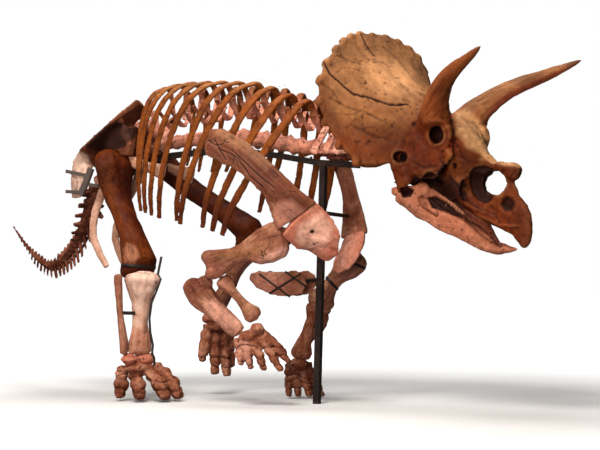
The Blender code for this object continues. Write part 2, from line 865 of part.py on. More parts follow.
def rib_path(index, side):
    """Stations of one rib, from its head on the vertebra to its lower end."""
    x = FIRST_RIB_X + RIB_SPACING * index
    part = index / (RIB_COUNT - 1)
    sweep = RIB_SWEEPS[index]
    bulge = lerp(RIB_BULGE_REAR, RIB_BULGE_FRONT, min(part * 2.0, 1.0))
    top = RIB_TOPS[index]
    low = RIB_LOW_REAR - RIB_LOW_FALL * part ** 1.3
    if side == LEFT:
        sweep *= LEFT_SWEEP_SHARE
        low = max(LEFT_RIB_ENDS[index], thigh_top(x - sweep) + 0.05)
    width = (RIB_WIDTH + RIB_WIDTH_GAIN * part) / 2
    thick = RIB_THICKNESS / 2
    stations = [
        (x - 0.005, 0.070 * side, back_point(x).z + 0.19, width, thick),
        (x - 0.015, bulge * 0.38 * side, top - 0.020, width * 1.1, thick * 1.2),
    ]
    if part < 0.5:
        first, second, share = REAR_RIB, MIDDLE_RIB, part * 2.0
    else:
        first, second, share = MIDDLE_RIB, FRONT_RIB, part * 2.0 - 1.0
    for before, after in zip(first, second):
        drop = before[0]
        shift = sweep * lerp(before[1], after[1], share)
        reach = bulge * lerp(before[2], after[2], share)
        scale = 0.75 if drop == 1.0 else 1.05
        stations.append((x - 0.02 - shift, reach * side, lerp(top, low, drop),
                         width * scale, thick * min(scale, 1.0)))
    return stations


def thigh_top(x):
    """Top of the raised left thigh at x, which the left ribs stay clear of."""
    hip = Vector((0.0, 0.0, HIP.z))
    knee = LEFT_KNEE
    t = min(max((x - hip.x) / (knee.x - hip.x), 0.0), 1.15)
    return lerp(hip.z, knee.z, t) + 0.13


def build_ribcage(side):
    """One side of the rib cage: halved dorsal vertebrae with their ribs."""
    pieces = [centrum_chain(DORSAL_START_X + GAP, NECK_START_X - GAP, RIB_COUNT,
                            CENTRUM_RADIUS)]
    for index in range(RIB_COUNT):
        x = FIRST_RIB_X + RIB_SPACING * index - 0.01
        pieces.extend(vertebra_pieces(x, spine_height(x), 0.032, 0.17, 0.10))
        pieces.append(bone(rib_path(index, side), Vector((1, 0, 0)), sides=6, dome=0.0))
    cage = fuse("ribcage_" + SIDE_NAMES[side], pieces, KEEP_CAGE)
    half = GAP / 2
    if side == RIGHT:
        keeper = block((-1.0, -1.0, 0.5), (3.0, -half, 3.2))
    else:
        keeper = block((-1.0, half, 0.5), (3.0, 1.0, 3.2))
    combine(cage, [keeper], "INTERSECT")
    keep_largest(cage)
    return dress(cage, BONE)


def build_neck():
    """Neck vertebrae from the chest to the skull, with their short ribs."""
    count = 5
    pieces = [centrum_chain(NECK_START_X, NECK_END_X + 0.06, count, CENTRUM_RADIUS)]
    for index in range(count):
        x = lerp(NECK_START_X + 0.06, NECK_END_X - 0.05, index / (count - 1))
        centre = back_point(x)
        pieces.extend(vertebra_pieces(x, spine_height(x), 0.030, 0.13, 0.02))
        reach = 0.20 - 0.018 * index
        for side in (RIGHT, LEFT):
            pieces.append(blade(
                (x - 0.005, 0.11 * side, centre.z + 0.20),
                (x - 0.10, reach * side, centre.z - 0.03),
                Vector((0, 1, 0)), (0.026, 0.014), (0.032, 0.013)))
            pieces.append(blade(
                (x, 0.03 * side, centre.z - 0.01),
                (x - 0.09, (reach + 0.01) * side, centre.z - 0.02),
                Vector((0, 0, 1)), (0.026, 0.015), (0.024, 0.014)))
    neck = fuse("neck", pieces, KEEP_NECK)
    return dress(neck, PINK_BONE)


def build_sacrum():
    """Fused hip vertebrae with the bars that carry the hip blades."""
    start = SACRUM_START_X + 0.012
    pieces = [centrum_chain(start, DORSAL_START_X - GAP, 7, CENTRUM_RADIUS * 1.05)]
    for index in range(6):
        x = lerp(-0.30, 0.22, index / 5)
        centre = back_point(x)
        thin = Vector((0, 1, 0))
        pieces.append(blade((x, 0.0, centre.z + 0.02), (x - 0.05, 0.0, centre.z + 0.31),
                            thin, (0.050, 0.030), (0.040, 0.014)))
        for side in (RIGHT, LEFT):
            pieces.append(blade((x, 0.02 * side, centre.z + 0.05),
                                (x - 0.02, 0.235 * side, centre.z + 0.17),
                                Vector((0, 0, 1)), (0.042, 0.030), (0.045, 0.034)))
    sacrum = fuse("sacrum", pieces, KEEP_SACRUM)
    return dress(sacrum, BONE)


def tail_radius(fraction):
    """Radius of the tail's centra at a part of its length."""
    return lerp(0.072, 0.008, fraction ** 0.9)


def tail_samples():
    """Close samples along the tail's centre line."""
    return [Vector(point) for point in smooth_points(TAIL_LINE, 161)]


def build_tail():
    """Tail in three lengths, each a chain of centra with spines and chevrons."""
    line = tail_samples()
    lengths = [0.0]
    for a, b in zip(line, line[1:]):
        lengths.append(lengths[-1] + (b - a).length)
    total = lengths[-1]

    def point_at(distance):
        """Point and direction of the tail at a distance from the sacrum."""
        for index in range(len(line) - 1):
            if distance <= lengths[index + 1]:
                break
        span = lengths[index + 1] - lengths[index]
        t = (distance - lengths[index]) / span
        return line[index].lerp(line[index + 1], t), (line[index + 1]
                                                      - line[index]).normalized()

    parts = []
    cuts = [0.0, total * 0.26, total * 0.62, total]
    counts = [6, 10, 11]
    for part_index in range(3):
        start = cuts[part_index] + (GAP / 2 if part_index else 0.0)
        end = cuts[part_index + 1] - (GAP / 2 if part_index < 2 else 0.0)
        count = counts[part_index]
        step = (end - start) / count
        path = []
        pieces = []
        for index in range(2 * count + 1):
            distance = start + step * index / 2
            point, along = point_at(min(distance, total - 1e-4))
            fraction = distance / total
            radius = tail_radius(fraction) * (1.0 if index % 2 == 0 else 0.84)
            path.append((*point, radius, radius))
        sides = 8 if part_index == 0 else 6
        pieces.append(bone(path, Vector((0.6, 0.8, 0.0)), sides=sides, dome=0.0))
        for index in range(count):
            distance = start + step * (index + 0.5)
            point, along = point_at(distance)
            fraction = distance / total
            radius = tail_radius(fraction)
            flat = Vector((along.x, along.y, 0.0)).normalized()
            side = Vector((-flat.y, flat.x, 0.0))
            up = side.cross(along).normalized()
            if up.z < 0:
                up = -up
            spine = lerp(0.060, 0.012, min(fraction * 1.05, 1.0))
            pieces.append(blade(point + up * radius * 0.2,
                                point + up * (radius + spine) + along * spine * 0.5,
                                side, (step * 0.30, radius * 0.32),
                                (step * 0.26, radius * 0.20)))
            if index or part_index:
                chevron = lerp(0.165, 0.012, min(fraction * 1.02, 1.0))
                pieces.append(blade(point - up * radius * 0.3,
                                    point - up * (radius + chevron)
                                    + along * chevron * 0.15,
                                    side, (step * 0.20, radius * 0.26),
                                    (step * 0.24, radius * 0.20)))
            if part_index == 0:
                reach = lerp(0.075, 0.030, fraction / 0.26)
                for hand in (1, -1):
                    pieces.append(blade(point + side * hand * radius * 0.4,
                                        point + side * hand * (radius + reach)
                                        + along * 0.02,
                                        up, (step * 0.24, radius * 0.24),
                                        (step * 0.2, radius * 0.18)))
        name = ("tail_base", "tail_middle", "tail_tip")[part_index]
        tail = fuse(name, pieces, KEEP_TAIL)
        parts.append(dress(tail, DARK_BONE))
    return parts


# Hips and hind legs

RIGHT_HIP = Vector((-0.045, -HIP.y, HIP.z - 0.03))
LEFT_HIP = Vector((0.0, HIP.y, HIP.z))
RIGHT_KNEE = Vector((0.330, -0.410, 1.070))
LEFT_KNEE = Vector((0.880, 0.490, 1.370))
RIGHT_ANKLE = Vector((0.330, -0.430, 0.385))
LEFT_ANKLE = Vector((0.500, 0.430, 0.700))

FEMUR = [
    (-0.040, 0.010, 0.000, 0.120, 0.060),
    (0.010, 0.010, 0.000, 0.180, 0.098),
    (0.100, 0.010, -0.010, 0.190, 0.102),
    (0.220, 0.010, -0.060, 0.152, 0.096),
    (0.350, 0.000, -0.088, 0.124, 0.090),
    (0.540, 0.000, -0.045, 0.104, 0.082),
    (0.700, 0.000, -0.018, 0.114, 0.092),
    (0.830, 0.000, -0.008, 0.140, 0.106),
    (0.950, 0.000, -0.010, 0.165, 0.118),
    (1.010, 0.000, -0.010, 0.130, 0.085),
]
TIBIA = [
    (0.000, 0.000, 0.010, 0.135, 0.110),
    (0.060, 0.000, 0.012, 0.158, 0.135),
    (0.180, 0.000, 0.010, 0.130, 0.112),
    (0.360, 0.000, 0.000, 0.082, 0.074),
    (0.560, 0.000, 0.000, 0.068, 0.058),
    (0.740, 0.000, 0.000, 0.082, 0.058),
    (0.900, 0.000, 0.000, 0.112, 0.068),
    (0.990, 0.000, 0.000, 0.105, 0.066),
]


def build_femur(side, hip, knee, out, bow):
    """Thigh bone with its inward head and two condyles."""
    knobs = [
        (0.030, -0.125, 0.000, (0.088, 0.085, 0.088)),
        (0.975, 0.085, -0.050, (0.072, 0.108, 0.080)),
        (0.975, -0.085, -0.050, (0.072, 0.108, 0.080)),
    ]
    stations = [(t, a, front * bow, w, d) for t, a, front, w, d in FEMUR]
    femur = fuse("femur_" + SIDE_NAMES[side],
                 limb_bone(hip, knee, out, stations, knobs, hand=side), KEEP_LIMB)
    return dress(femur, DARK_BONE)


def build_shin(side, knee, ankle, out, femur):
    """Tibia and fibula of one leg."""
    name = SIDE_NAMES[side]
    down = (ankle - knee).normalized()
    start = knee + down * 0.045
    tibia = fuse("tibia_" + name, limb_bone(start, ankle, out, TIBIA, hand=side),
                 KEEP_LIMB)
    trim(tibia, [femur])
    place = axis_frame(start, ankle, out, side)
    length = (ankle - start).length
    shift = 0.205
    rings = [
        (0.02, shift, -0.02, 0.032, 0.045),
        (0.10, shift, -0.02, 0.034, 0.042),
        (0.50, shift - 0.025, -0.02, 0.026, 0.028),
        (0.86, shift - 0.055, 0.0, 0.038, 0.040),
        (1.0, shift - 0.055, 0.0, 0.034, 0.036),
    ]
    path = [(*(place @ Vector((a, f, t * length))), w, d) for t, a, f, w, d in rings]
    fibula = fuse("fibula_" + name, [bone(path, place.to_3x3() @ Vector((1, 0, 0)),
                                          sides=8)])
    trim(fibula, [tibia])
    return dress(tibia, PALE_BONE), dress(fibula, BONE)


def build_ankle(side, ankle, down, out, shin_bones):
    """Ankle bones in one seated row."""
    front = down.cross(out).normalized()
    turn = Matrix((out, front, down)).transposed()
    centre = ankle + down * 0.045
    pieces = [
        knob(centre - out * 0.045, (0.105, 0.080, 0.058), turn, sides=10),
        knob(centre + out * 0.100, (0.078, 0.068, 0.055), turn),
    ]
    item = fuse("ankle_" + SIDE_NAMES[side], pieces, KEEP_FOOT)
    trim(item, shin_bones)
    return dress(item, BONE)


DIGIT_WAIST = 0.72


def digit_pieces(root, tip, widths, knuckles, sides=6):
    """One digit: a row of short bones from root to tip, swollen at the joints."""
    path = []
    steps = 2 * knuckles
    along = tip - root
    for index in range(steps + 1):
        t = index / steps
        width = lerp(widths[0], widths[1], t)
        if index % 2 == 1:
            width *= DIGIT_WAIST
        sag = Vector((0.0, 0.0, 0.030 * math.sin(math.pi * t)))
        path.append((*(root + along * t + sag), width, width * 0.85))
    end = path[-1]
    path[-1] = (end[0], end[1], end[2], end[3] * 0.8, end[4] * 0.55)
    return bone(path, Vector((0, 1, 0)), sides=sides, dome=0.3)


def floor_cut(item, height=0.0):
    """Flatten what reaches below a level, as a foot stands on its small flats."""
    carve(item, [block((-4, -4, height - 1.0), (4, 4, height))])


def build_foot_right(ankle_item):
    """Standing hind foot: four digits spread under the ankle."""
    top = RIGHT_ANKLE + Vector((0.0, 0.0, -0.085))
    pieces = [knob(top + Vector((0.0, 0.0, -0.030)), (0.115, 0.155, 0.045), sides=10)]
    tips = [
        (0.195, -0.505, 0.040),
        (0.425, -0.565, 0.040),
        (0.605, -0.460, 0.038),
        (0.650, -0.330, 0.038),
    ]
    for index, tip in enumerate(tips):
        spread = lerp(-0.095, 0.110, index / 3)
        root = top + Vector((lerp(-0.105, 0.085, index / 3), spread, -0.03))
        widths = (0.074, 0.070) if index else (0.066, 0.068)
        pieces.append(digit_pieces(root, Vector(tip), widths, 3))
    foot = fuse("foot_right", pieces, KEEP_FOOT)
    floor_cut(foot)
    trim(foot, [ankle_item])
    return dress(foot, BONE)


def build_foot_left(ankle_item):
    """Raised hind foot, its digits hanging forward."""
    down = Vector((0.30, 0.0, -1.0)).normalized()
    top = LEFT_ANKLE + down * 0.10
    pieces = [knob(top + down * 0.03, (0.090, 0.155, 0.050), sides=10)]
    tips = [
        (0.490, 0.270, 0.300),
        (0.565, 0.360, 0.190),
        (0.630, 0.450, 0.165),
        (0.600, 0.560, 0.230),
    ]
    for index, tip in enumerate(tips):
        spread = lerp(-0.110, 0.120, index / 3)
        root = top + Vector((0.01 * index, spread, -0.02))
        pieces.append(digit_pieces(root, Vector(tip), (0.064, 0.054), 3))
    foot = fuse("foot_left", pieces, KEEP_FOOT)
    trim(foot, [ankle_item])
    return dress(foot, BONE)


ILIUM = [
    (0.265, 0.395, 2.470, 0.265, 0.260, 2.410),
    (0.180, 0.410, 2.410, 0.185, 0.190, 2.330),
    (-0.020, 0.420, 2.270, 0.030, 0.190, 2.215),
    (-0.160, 0.420, 2.180, -0.095, 0.200, 2.115),
    (-0.290, 0.410, 2.090, -0.195, 0.220, 2.030),
    (-0.400, 0.380, 1.985, -0.245, 0.260, 1.955),
    (-0.440, 0.350, 1.870, -0.265, 0.290, 1.860),
    (-0.450, 0.330, 1.760, -0.285, 0.300, 1.760),
    (-0.445, 0.315, 1.665, -0.350, 0.300, 1.675),
]
ILIUM_HALF_THICKNESS = 0.024


def build_ilium(side, femur, neighbours):
    """Long hip blade, its outer rim rolled out over the hip socket."""
    rims = [Vector((x, y * side, z)) for x, y, z, *_ in ILIUM]
    roots = [Vector((x, y * side, z)) for *_, x, y, z in ILIUM]
    middles = [(a + b) / 2 for a, b in zip(rims, roots)]
    rings = []
    for index, middle in enumerate(middles):
        before = middles[max(index - 1, 0)]
        after = middles[min(index + 1, len(middles) - 1)]
        across = (rims[index] - roots[index]) / 2
        deep = (after - before).cross(across).normalized()
        rings.append(section(middle, across, deep, 1.0, ILIUM_HALF_THICKNESS, 8))
    pieces = [loft(rings)]
    pieces.append(bone([
        (0.04, 0.275 * side, 2.270, 0.170, 0.060),
        (0.03, 0.265 * side, 2.180, 0.145, 0.080),
        (0.00, 0.250 * side, 2.080, 0.150, 0.088),
        (-0.01, 0.245 * side, 2.030, 0.140, 0.080),
    ], Vector((1, 0, 0.2)), sides=10, dome=0.0))
    ilium = fuse("ilium_" + SIDE_NAMES[side], pieces, KEEP_HIP)
    trim(ilium, [femur] + neighbours)
    return dress(ilium, PALE_BONE)


def build_ischium(side, femur, ilium):
    """Long rear hip bone, curving down and back."""
    path = smooth_points([
        (-0.070, 0.235 * side, 2.000, 0.075, 0.045),
        (-0.160, 0.215 * side, 1.800, 0.046, 0.034),
        (-0.290, 0.185 * side, 1.560, 0.040, 0.026),
        (-0.330, 0.160 * side, 1.330, 0.040, 0.024),
        (-0.205, 0.140 * side, 1.090, 0.030, 0.020),
    ], 9)
    item = fuse("ischium_" + SIDE_NAMES[side],
                [bone(path, Vector((1, 0, 0)), sides=8, dome=0.3)])
    trim(item, [femur, ilium])
    return dress(item, PALE_BONE)


def build_pubis(side, femur, ilium, ischium):
    """Forward hip bone, flared at its end."""
    path = [
        (0.02, 0.215 * side, 1.990, 0.045, 0.075),
        (0.10, 0.190 * side, 1.960, 0.030, 0.055),
        (0.24, 0.200 * side, 1.920, 0.024, 0.045),
        (0.36, 0.215 * side, 1.885, 0.022, 0.065),
        (0.43, 0.225 * side, 1.865, 0.018, 0.080),
    ]
    item = fuse("pubis_" + SIDE_NAMES[side],
                [bone(path, Vector((0, 1, 0)), sides=8, dome=0.3)])
    trim(item, [femur, ilium, ischium])
    return dress(item, PALE_BONE)


# Shoulders and forelegs

# Shoulder blades as (x, y, z, half width, half thickness) along the blade

SCAPULA_RIGHT = [
    (1.078, -0.615, 2.066, 0.100, 0.016),
    (1.170, -0.617, 2.046, 0.141, 0.018),
    (1.390, -0.600, 1.926, 0.119, 0.022),
    (1.528, -0.585, 1.822, 0.117, 0.026),
    (1.655, -0.560, 1.692, 0.119, 0.034),
    (1.733, -0.520, 1.574, 0.153, 0.048),
    (1.791, -0.465, 1.467, 0.195, 0.060),
]
CORACOID_RIGHT = [
    (1.793, -0.463, 1.462, 0.185, 0.058),
    (1.850, -0.415, 1.400, 0.190, 0.050),
    (1.900, -0.365, 1.335, 0.185, 0.042),
    (1.930, -0.320, 1.265, 0.165, 0.036),
    (1.925, -0.280, 1.190, 0.120, 0.030),
    (1.900, -0.260, 1.150, 0.060, 0.020),
]
SCAPULA_LEFT = [
    (1.635, 0.520, 2.060, 0.090, 0.016),
    (1.675, 0.510, 1.980, 0.115, 0.018),
    (1.740, 0.485, 1.830, 0.110, 0.022),
    (1.795, 0.455, 1.680, 0.110, 0.028),
    (1.830, 0.435, 1.530, 0.130, 0.038),
    (1.850, 0.420, 1.400, 0.165, 0.054),
    (1.855, 0.410, 1.340, 0.170, 0.058),
]
CORACOID_LEFT = [
    (1.856, 0.409, 1.336, 0.165, 0.056),
    (1.866, 0.365, 1.260, 0.165, 0.048),
    (1.850, 0.310, 1.180, 0.140, 0.040),
    (1.810, 0.265, 1.100, 0.095, 0.030),
    (1.770, 0.240, 1.050, 0.045, 0.018),
]


def plate_bone(path, out, sides=10, dome=0.3):
    """Blade bone along a path, its flat faces turned to the out direction."""
    points = [Vector(station[:3]) for station in path]
    rings = []
    for index, station in enumerate(path):
        before = points[max(index - 1, 0)]
        after = points[min(index + 1, len(points) - 1)]
        along = (after - before).normalized()
        thin = (out - along * out.dot(along)).normalized()
        wide = thin.cross(along)
        rings.append(section(points[index], wide, thin, station[3], station[4], sides))
    return loft(rings, dome)


def build_shoulder(side):
    """Shoulder blade and coracoid of one side."""
    name = SIDE_NAMES[side]
    if side == RIGHT:
        path = smooth_points(SCAPULA_RIGHT, 10)
        coracoid_path = CORACOID_RIGHT
        out = Vector((0.25, -1.0, 0.25))
    else:
        path = smooth_points(SCAPULA_LEFT, 10)
        coracoid_path = CORACOID_LEFT
        out = Vector((0.45, 1.0, 0.25))
    scapula = fuse("scapula_" + name, [plate_bone(path, out, dome=0.0)])
    coracoid = fuse("coracoid_" + name, [plate_bone(coracoid_path, out, dome=0.3)])
    trim(coracoid, [scapula])
    return dress(scapula, BONE), dress(coracoid, PINK_BONE)


HUMERUS = [
    (0.000, 0.020, 0.000, 0.120, 0.080),
    (0.060, 0.025, 0.000, 0.165, 0.085),
    (0.200, 0.035, 0.020, 0.165, 0.070),
    (0.360, 0.030, 0.020, 0.135, 0.062),
    (0.520, 0.005, 0.000, 0.075, 0.066),
    (0.680, 0.000, 0.000, 0.068, 0.064),
    (0.840, 0.000, 0.000, 0.108, 0.074),
    (0.940, 0.000, 0.000, 0.130, 0.085),
    (1.000, 0.000, 0.000, 0.100, 0.070),
]


def build_humerus(side, shoulder, elbow, out, shoulder_bones):
    """Upper arm bone with its wide crest, head and two condyles."""
    knobs = [
        (0.010, 0.000, -0.060, (0.075, 0.070, 0.075)),
        (0.960, 0.065, 0.015, (0.062, 0.078, 0.066)),
        (0.960, -0.065, 0.015, (0.062, 0.078, 0.066)),
    ]
    item = fuse("humerus_" + SIDE_NAMES[side],
                limb_bone(shoulder, elbow, out, HUMERUS, knobs), KEEP_LIMB)
    trim(item, shoulder_bones)
    return dress(item, BONE)


def build_forearm(side, olecranon, ulna_end, notch, radius_start, radius_end, across,
                  size, humerus):
    """Ulna with its elbow hook and notch, and the radius beside it."""
    name = SIDE_NAMES[side]
    path = []
    for t, wide, deep in ((0.0, 0.055, 0.044), (0.08, 0.088, 0.055),
                          (0.22, 0.114, 0.070), (0.36, 0.108, 0.068),
                          (0.55, 0.082, 0.054), (0.75, 0.074, 0.052),
                          (0.92, 0.076, 0.055), (1.0, 0.060, 0.045)):
        path.append((*olecranon.lerp(ulna_end, t), wide * size, deep * size))
    ulna = fuse("ulna_" + name, [bone(path, across), knob(notch, (0.075, 0.055, 0.060))],
                KEEP_FOREARM)
    trim(ulna, [humerus])
    path = []
    for t, wide, deep in ((0.0, 0.062, 0.050), (0.07, 0.068, 0.058),
                          (0.25, 0.045, 0.042), (0.50, 0.036, 0.036),
                          (0.72, 0.048, 0.042), (0.90, 0.078, 0.060),
                          (1.0, 0.066, 0.050)):
        path.append((*radius_start.lerp(radius_end, t), wide, deep))
    radius = fuse("radius_" + name, [bone(path, across)], KEEP_FOREARM)
    trim(radius, [humerus, ulna])
    return dress(ulna, PINK_BONE), dress(radius, BONE)


def build_hand(side, wrist, outer, tips, spread, arm_bones, floor=False):
    """Wrist bones and five digits."""
    pieces = [knob(wrist, (0.085, 0.080, 0.056)), knob(outer, (0.062, 0.060, 0.052))]
    for index, tip in enumerate(tips):
        root = wrist + spread * lerp(-1.0, 1.0, index / (len(tips) - 1))
        pieces.append(digit_pieces(root, Vector(tip), (0.052, 0.042), 3, sides=6))
    hand = fuse("hand_" + SIDE_NAMES[side], pieces, KEEP_HAND)
    if floor:
        floor_cut(hand)
    trim(hand, arm_bones)
    return dress(hand, BONE)


def build_sternal(side):
    """Flat breast bone between the arms."""
    path = [
        (1.160, 0.075 * side, 1.010, 0.030, 0.016),
        (1.230, 0.080 * side, 0.985, 0.075, 0.022),
        (1.360, 0.085 * side, 0.955, 0.095, 0.026),
        (1.500, 0.090 * side, 0.945, 0.105, 0.028),
        (1.610, 0.095 * side, 0.965, 0.100, 0.024),
        (1.665, 0.095 * side, 0.985, 0.050, 0.016),
    ]
    item = fuse("sternal_" + SIDE_NAMES[side],
                [plate_bone(path, Vector((0, 1.0 * side, -0.15)), sides=8)])
    return dress(item, PINK_BONE)


def build_legs_and_girdles(sacrum, cages):
    """Hips, legs, shoulders and arms in the pose of the mount."""
    items = []
    right_out = Vector((-0.42, -0.90, 0.0)).normalized()
    left_out = Vector((-0.10, 1.0, 0.10)).normalized()
    femurs = {
        RIGHT: build_femur(RIGHT, RIGHT_HIP, RIGHT_KNEE, right_out, 1.0),
        LEFT: build_femur(LEFT, LEFT_HIP, LEFT_KNEE, left_out, 0.3),
    }
    for side in (RIGHT, LEFT):
        ilium = build_ilium(side, femurs[side], [sacrum] + cages)
        ischium = build_ischium(side, femurs[side], ilium)
        pubis = build_pubis(side, femurs[side], ilium, ischium)
        items += [femurs[side], ilium, ischium, pubis]
    for side, knee, ankle, out in ((RIGHT, RIGHT_KNEE, RIGHT_ANKLE, right_out),
                                   (LEFT, LEFT_KNEE, LEFT_ANKLE, left_out)):
        tibia, fibula = build_shin(side, knee, ankle, out, femurs[side])
        if side == RIGHT:
            down = Vector((0, 0, -1))
            flat_out = Vector((right_out.x, right_out.y, 0)).normalized()
        else:
            down = Vector((0.30, 0.0, -1.0)).normalized()
            flat_out = Vector((0, 1, 0))
        seat = build_ankle(side, ankle, down, flat_out, [tibia, fibula])
        foot = build_foot_right(seat) if side == RIGHT else build_foot_left(seat)
        items += [tibia, fibula, seat, foot]
    scapula, coracoid = build_shoulder(RIGHT)
    humerus = build_humerus(RIGHT, Vector((1.668, -0.460, 1.332)),
                            Vector((1.060, -0.545, 1.085)),
                            Vector((-0.1, -0.25, -1.0)), [scapula, coracoid])
    ulna, radius = build_forearm(
        RIGHT, Vector((0.870, -0.560, 0.960)), Vector((1.295, -0.490, 0.575)),
        Vector((1.020, -0.545, 0.962)),
        Vector((1.150, -0.500, 0.985)), Vector((1.430, -0.470, 0.690)),
        Vector((0.6, 0.1, 0.8)), 1.0, humerus)
    hand = build_hand(RIGHT, Vector((1.372, -0.470, 0.545)), (1.440, -0.462, 0.600), [
        (1.360, -0.560, 0.330),
        (1.420, -0.520, 0.300),
        (1.520, -0.480, 0.290),
        (1.640, -0.440, 0.285),
        (1.680, -0.380, 0.340),
    ], Vector((0.075, 0.055, 0.030)), [ulna, radius])
    items += [scapula, coracoid, humerus, ulna, radius, hand]
    scapula, coracoid = build_shoulder(LEFT)
    humerus = build_humerus(LEFT, Vector((1.830, 0.440, 1.200)),
                            Vector((1.520, 0.440, 0.800)),
                            Vector((0.55, 0.85, 0.10)), [scapula, coracoid])
    ulna, radius = build_forearm(
        LEFT, Vector((1.520, 0.530, 0.730)), Vector((1.270, 0.480, 0.340)),
        Vector((1.530, 0.500, 0.740)), Vector((1.480, 0.425, 0.770)),
        Vector((1.370, 0.430, 0.335)), Vector((0.8, 0.5, -0.2)), 0.82, humerus)
    hand = build_hand(LEFT, Vector((1.310, 0.465, 0.280)), (1.355, 0.420, 0.282), [
        (1.285, 0.345, 0.022),
        (1.360, 0.375, 0.022),
        (1.435, 0.430, 0.022),
        (1.520, 0.500, 0.022),
        (1.410, 0.580, 0.022),
    ], Vector((0.045, 0.075, 0.0)), [ulna, radius], floor=True)
    items += [scapula, coracoid, humerus, ulna, radius, hand]
    for side in (RIGHT, LEFT):
        items.append(build_sternal(side))
    return items


# Stand

def rod(points, radius, sides=6):
    """Round bar of one radius through the points."""
    path = [(*point, radius, radius) for point in points]
    return bone(path, Vector((0.1, 1.0, 0.3)), sides=sides, dome=0.0)


def tail_rod_points():
    """Line of the rod that carries the tail, below and beside its centra."""
    line = tail_samples()
    last = len(line) - 1
    points = []
    for index in range(int(last * 0.05), int(last * 0.66), 9):
        along = (line[index + 1] - line[index - 1]).normalized()
        side = Vector((-along.y, along.x, 0.0)).normalized()
        up = side.cross(along).normalized()
        if up.z < 0:
            up = -up
        radius = tail_radius(index / last)
        reach = radius + TAIL_ROD_RADIUS + 0.001
        points.append(line[index] - up * reach * 0.75 - side * reach * 0.66)
    return points


def leg_rod_points():
    """Line of the rod down the front inner edge of the standing leg."""
    right = Vector((0.883, 0.469, 0.0))
    start = RIGHT_KNEE + Vector((0.0, 0.0, -0.045))
    points = [RIGHT_KNEE + right * 0.162 + Vector((0.0, 0.0, 0.10))]
    for t, _, _, wide, deep in TIBIA:
        reach = math.hypot(0.79 * wide, 0.60 * deep) + 0.008
        points.append(start.lerp(RIGHT_ANKLE, t) + right * reach)
    points.append(RIGHT_ANKLE + right * 0.120 + Vector((0.0, 0.0, -0.07)))
    points.append(RIGHT_ANKLE + right * 0.110 + Vector((0.0, 0.0, -0.13)))
    return points


def build_stand(bones):
    """Steel post, the beam under the back, and the bars that hold the bones."""
    across = Vector((0, 1, 0))
    spine = ["ribcage_right", "ribcage_left", "neck", "sacrum"]
    tail = ["tail_base", "tail_middle", "tail_tip"]
    drop = CENTRUM_RADIUS * 1.05 + BEAM_HALF_DEPTH
    items = []

    def finish(name, pieces, contacts):
        """Fuse, seat and paint one part of the stand."""
        item = fuse(name, pieces)
        trim(item, [bones[contact] for contact in contacts])
        bones[name] = item
        items.append(dress(item, STEEL, 0.5, 0.8))

    beam_points = []
    for index in range(BEAM_STATIONS):
        x = lerp(BEAM_START_X, BEAM_END_X, index / (BEAM_STATIONS - 1))
        beam_points.append((x, 0.0, back_point(x).z - drop - 0.002))
    finish("stand_spine_beam", [bar(beam_points, across, BEAM_HALF_WIDTH,
                                    BEAM_HALF_DEPTH)],
           spine + ["tail_base"])
    top = back_point(POST_TOP_X)
    post = bar([(FOOT_X, 0.0, -0.10), (POST_TOP_X, 0.0, top.z - drop)], across,
               POST_HALF_WIDTH, POST_HALF_WIDTH)
    carve(post, [block((-4, -4, -1), (4, 4, 0))])
    finish("stand_post", [post], ["stand_spine_beam"])
    rear = beam_points[0]
    tail_points = [Vector((rear[0] + 0.03, -0.030, rear[2] - 0.02))] + tail_rod_points()
    finish("stand_tail_rod", [rod(tail_points, TAIL_ROD_RADIUS)],
           tail + ["sacrum", "stand_spine_beam", "ischium_left", "ischium_right"])
    finish("stand_hip_bracket", [
        bar([(-0.240, -0.322, 1.915), (-0.285, -0.330, 1.800), (-0.338, -0.338, 1.690)],
            across, 0.014, 0.026),
        bar([(-0.250, -0.328, 1.850), (-0.455, -0.384, 1.895)], across, 0.010, 0.014),
        bar([(-0.325, -0.338, 1.715), (-0.470, -0.362, 1.725)], across, 0.010, 0.014),
        bar([(-0.285, -0.328, 1.785), (-0.170, -0.315, 1.765)], across, 0.010, 0.014),
    ], ["ilium_right", "ischium_right", "femur_right"])
    finish("stand_leg_rod", [rod(leg_rod_points(), 0.010)],
           ["femur_right", "tibia_right", "ankle_right", "foot_right"])
    finish("stand_shin_strap", [
        bar([(0.215, -0.590, 0.715), (0.350, -0.450, 0.710)], across, 0.010, 0.014),
    ], ["tibia_right", "fibula_right"])
    finish("stand_scapula_clamp_right", [
        rod([(1.115, -0.612, 2.130), (1.050, -0.485, 2.130)], 0.016)],
        ["scapula_right", "ribcage_right"])
    finish("stand_scapula_clamp_left", [
        rod([(1.640, 0.520, 2.040), (1.510, 0.436, 2.100)], 0.016)],
        ["scapula_left", "ribcage_left"])
    finish("stand_shoulder_bar", [
        rod([(1.805, -0.450, 1.520), (1.805, 0.430, 1.500)], 0.016)],
        ["scapula_right", "scapula_left", "coracoid_right", "coracoid_left",
         "stand_post"])
    finish("stand_sternal_bar", [
        rod([(1.750, 0.0, 0.985), (1.500, 0.0, 0.965), (1.300, 0.0, 0.975)], 0.014),
        rod([(1.350, -0.085, 0.970), (1.350, 0.085, 0.970)], 0.010),
        rod([(1.560, -0.090, 0.960), (1.560, 0.090, 0.960)], 0.010)],
        ["sternal_right", "sternal_left", "stand_post"])
    return items


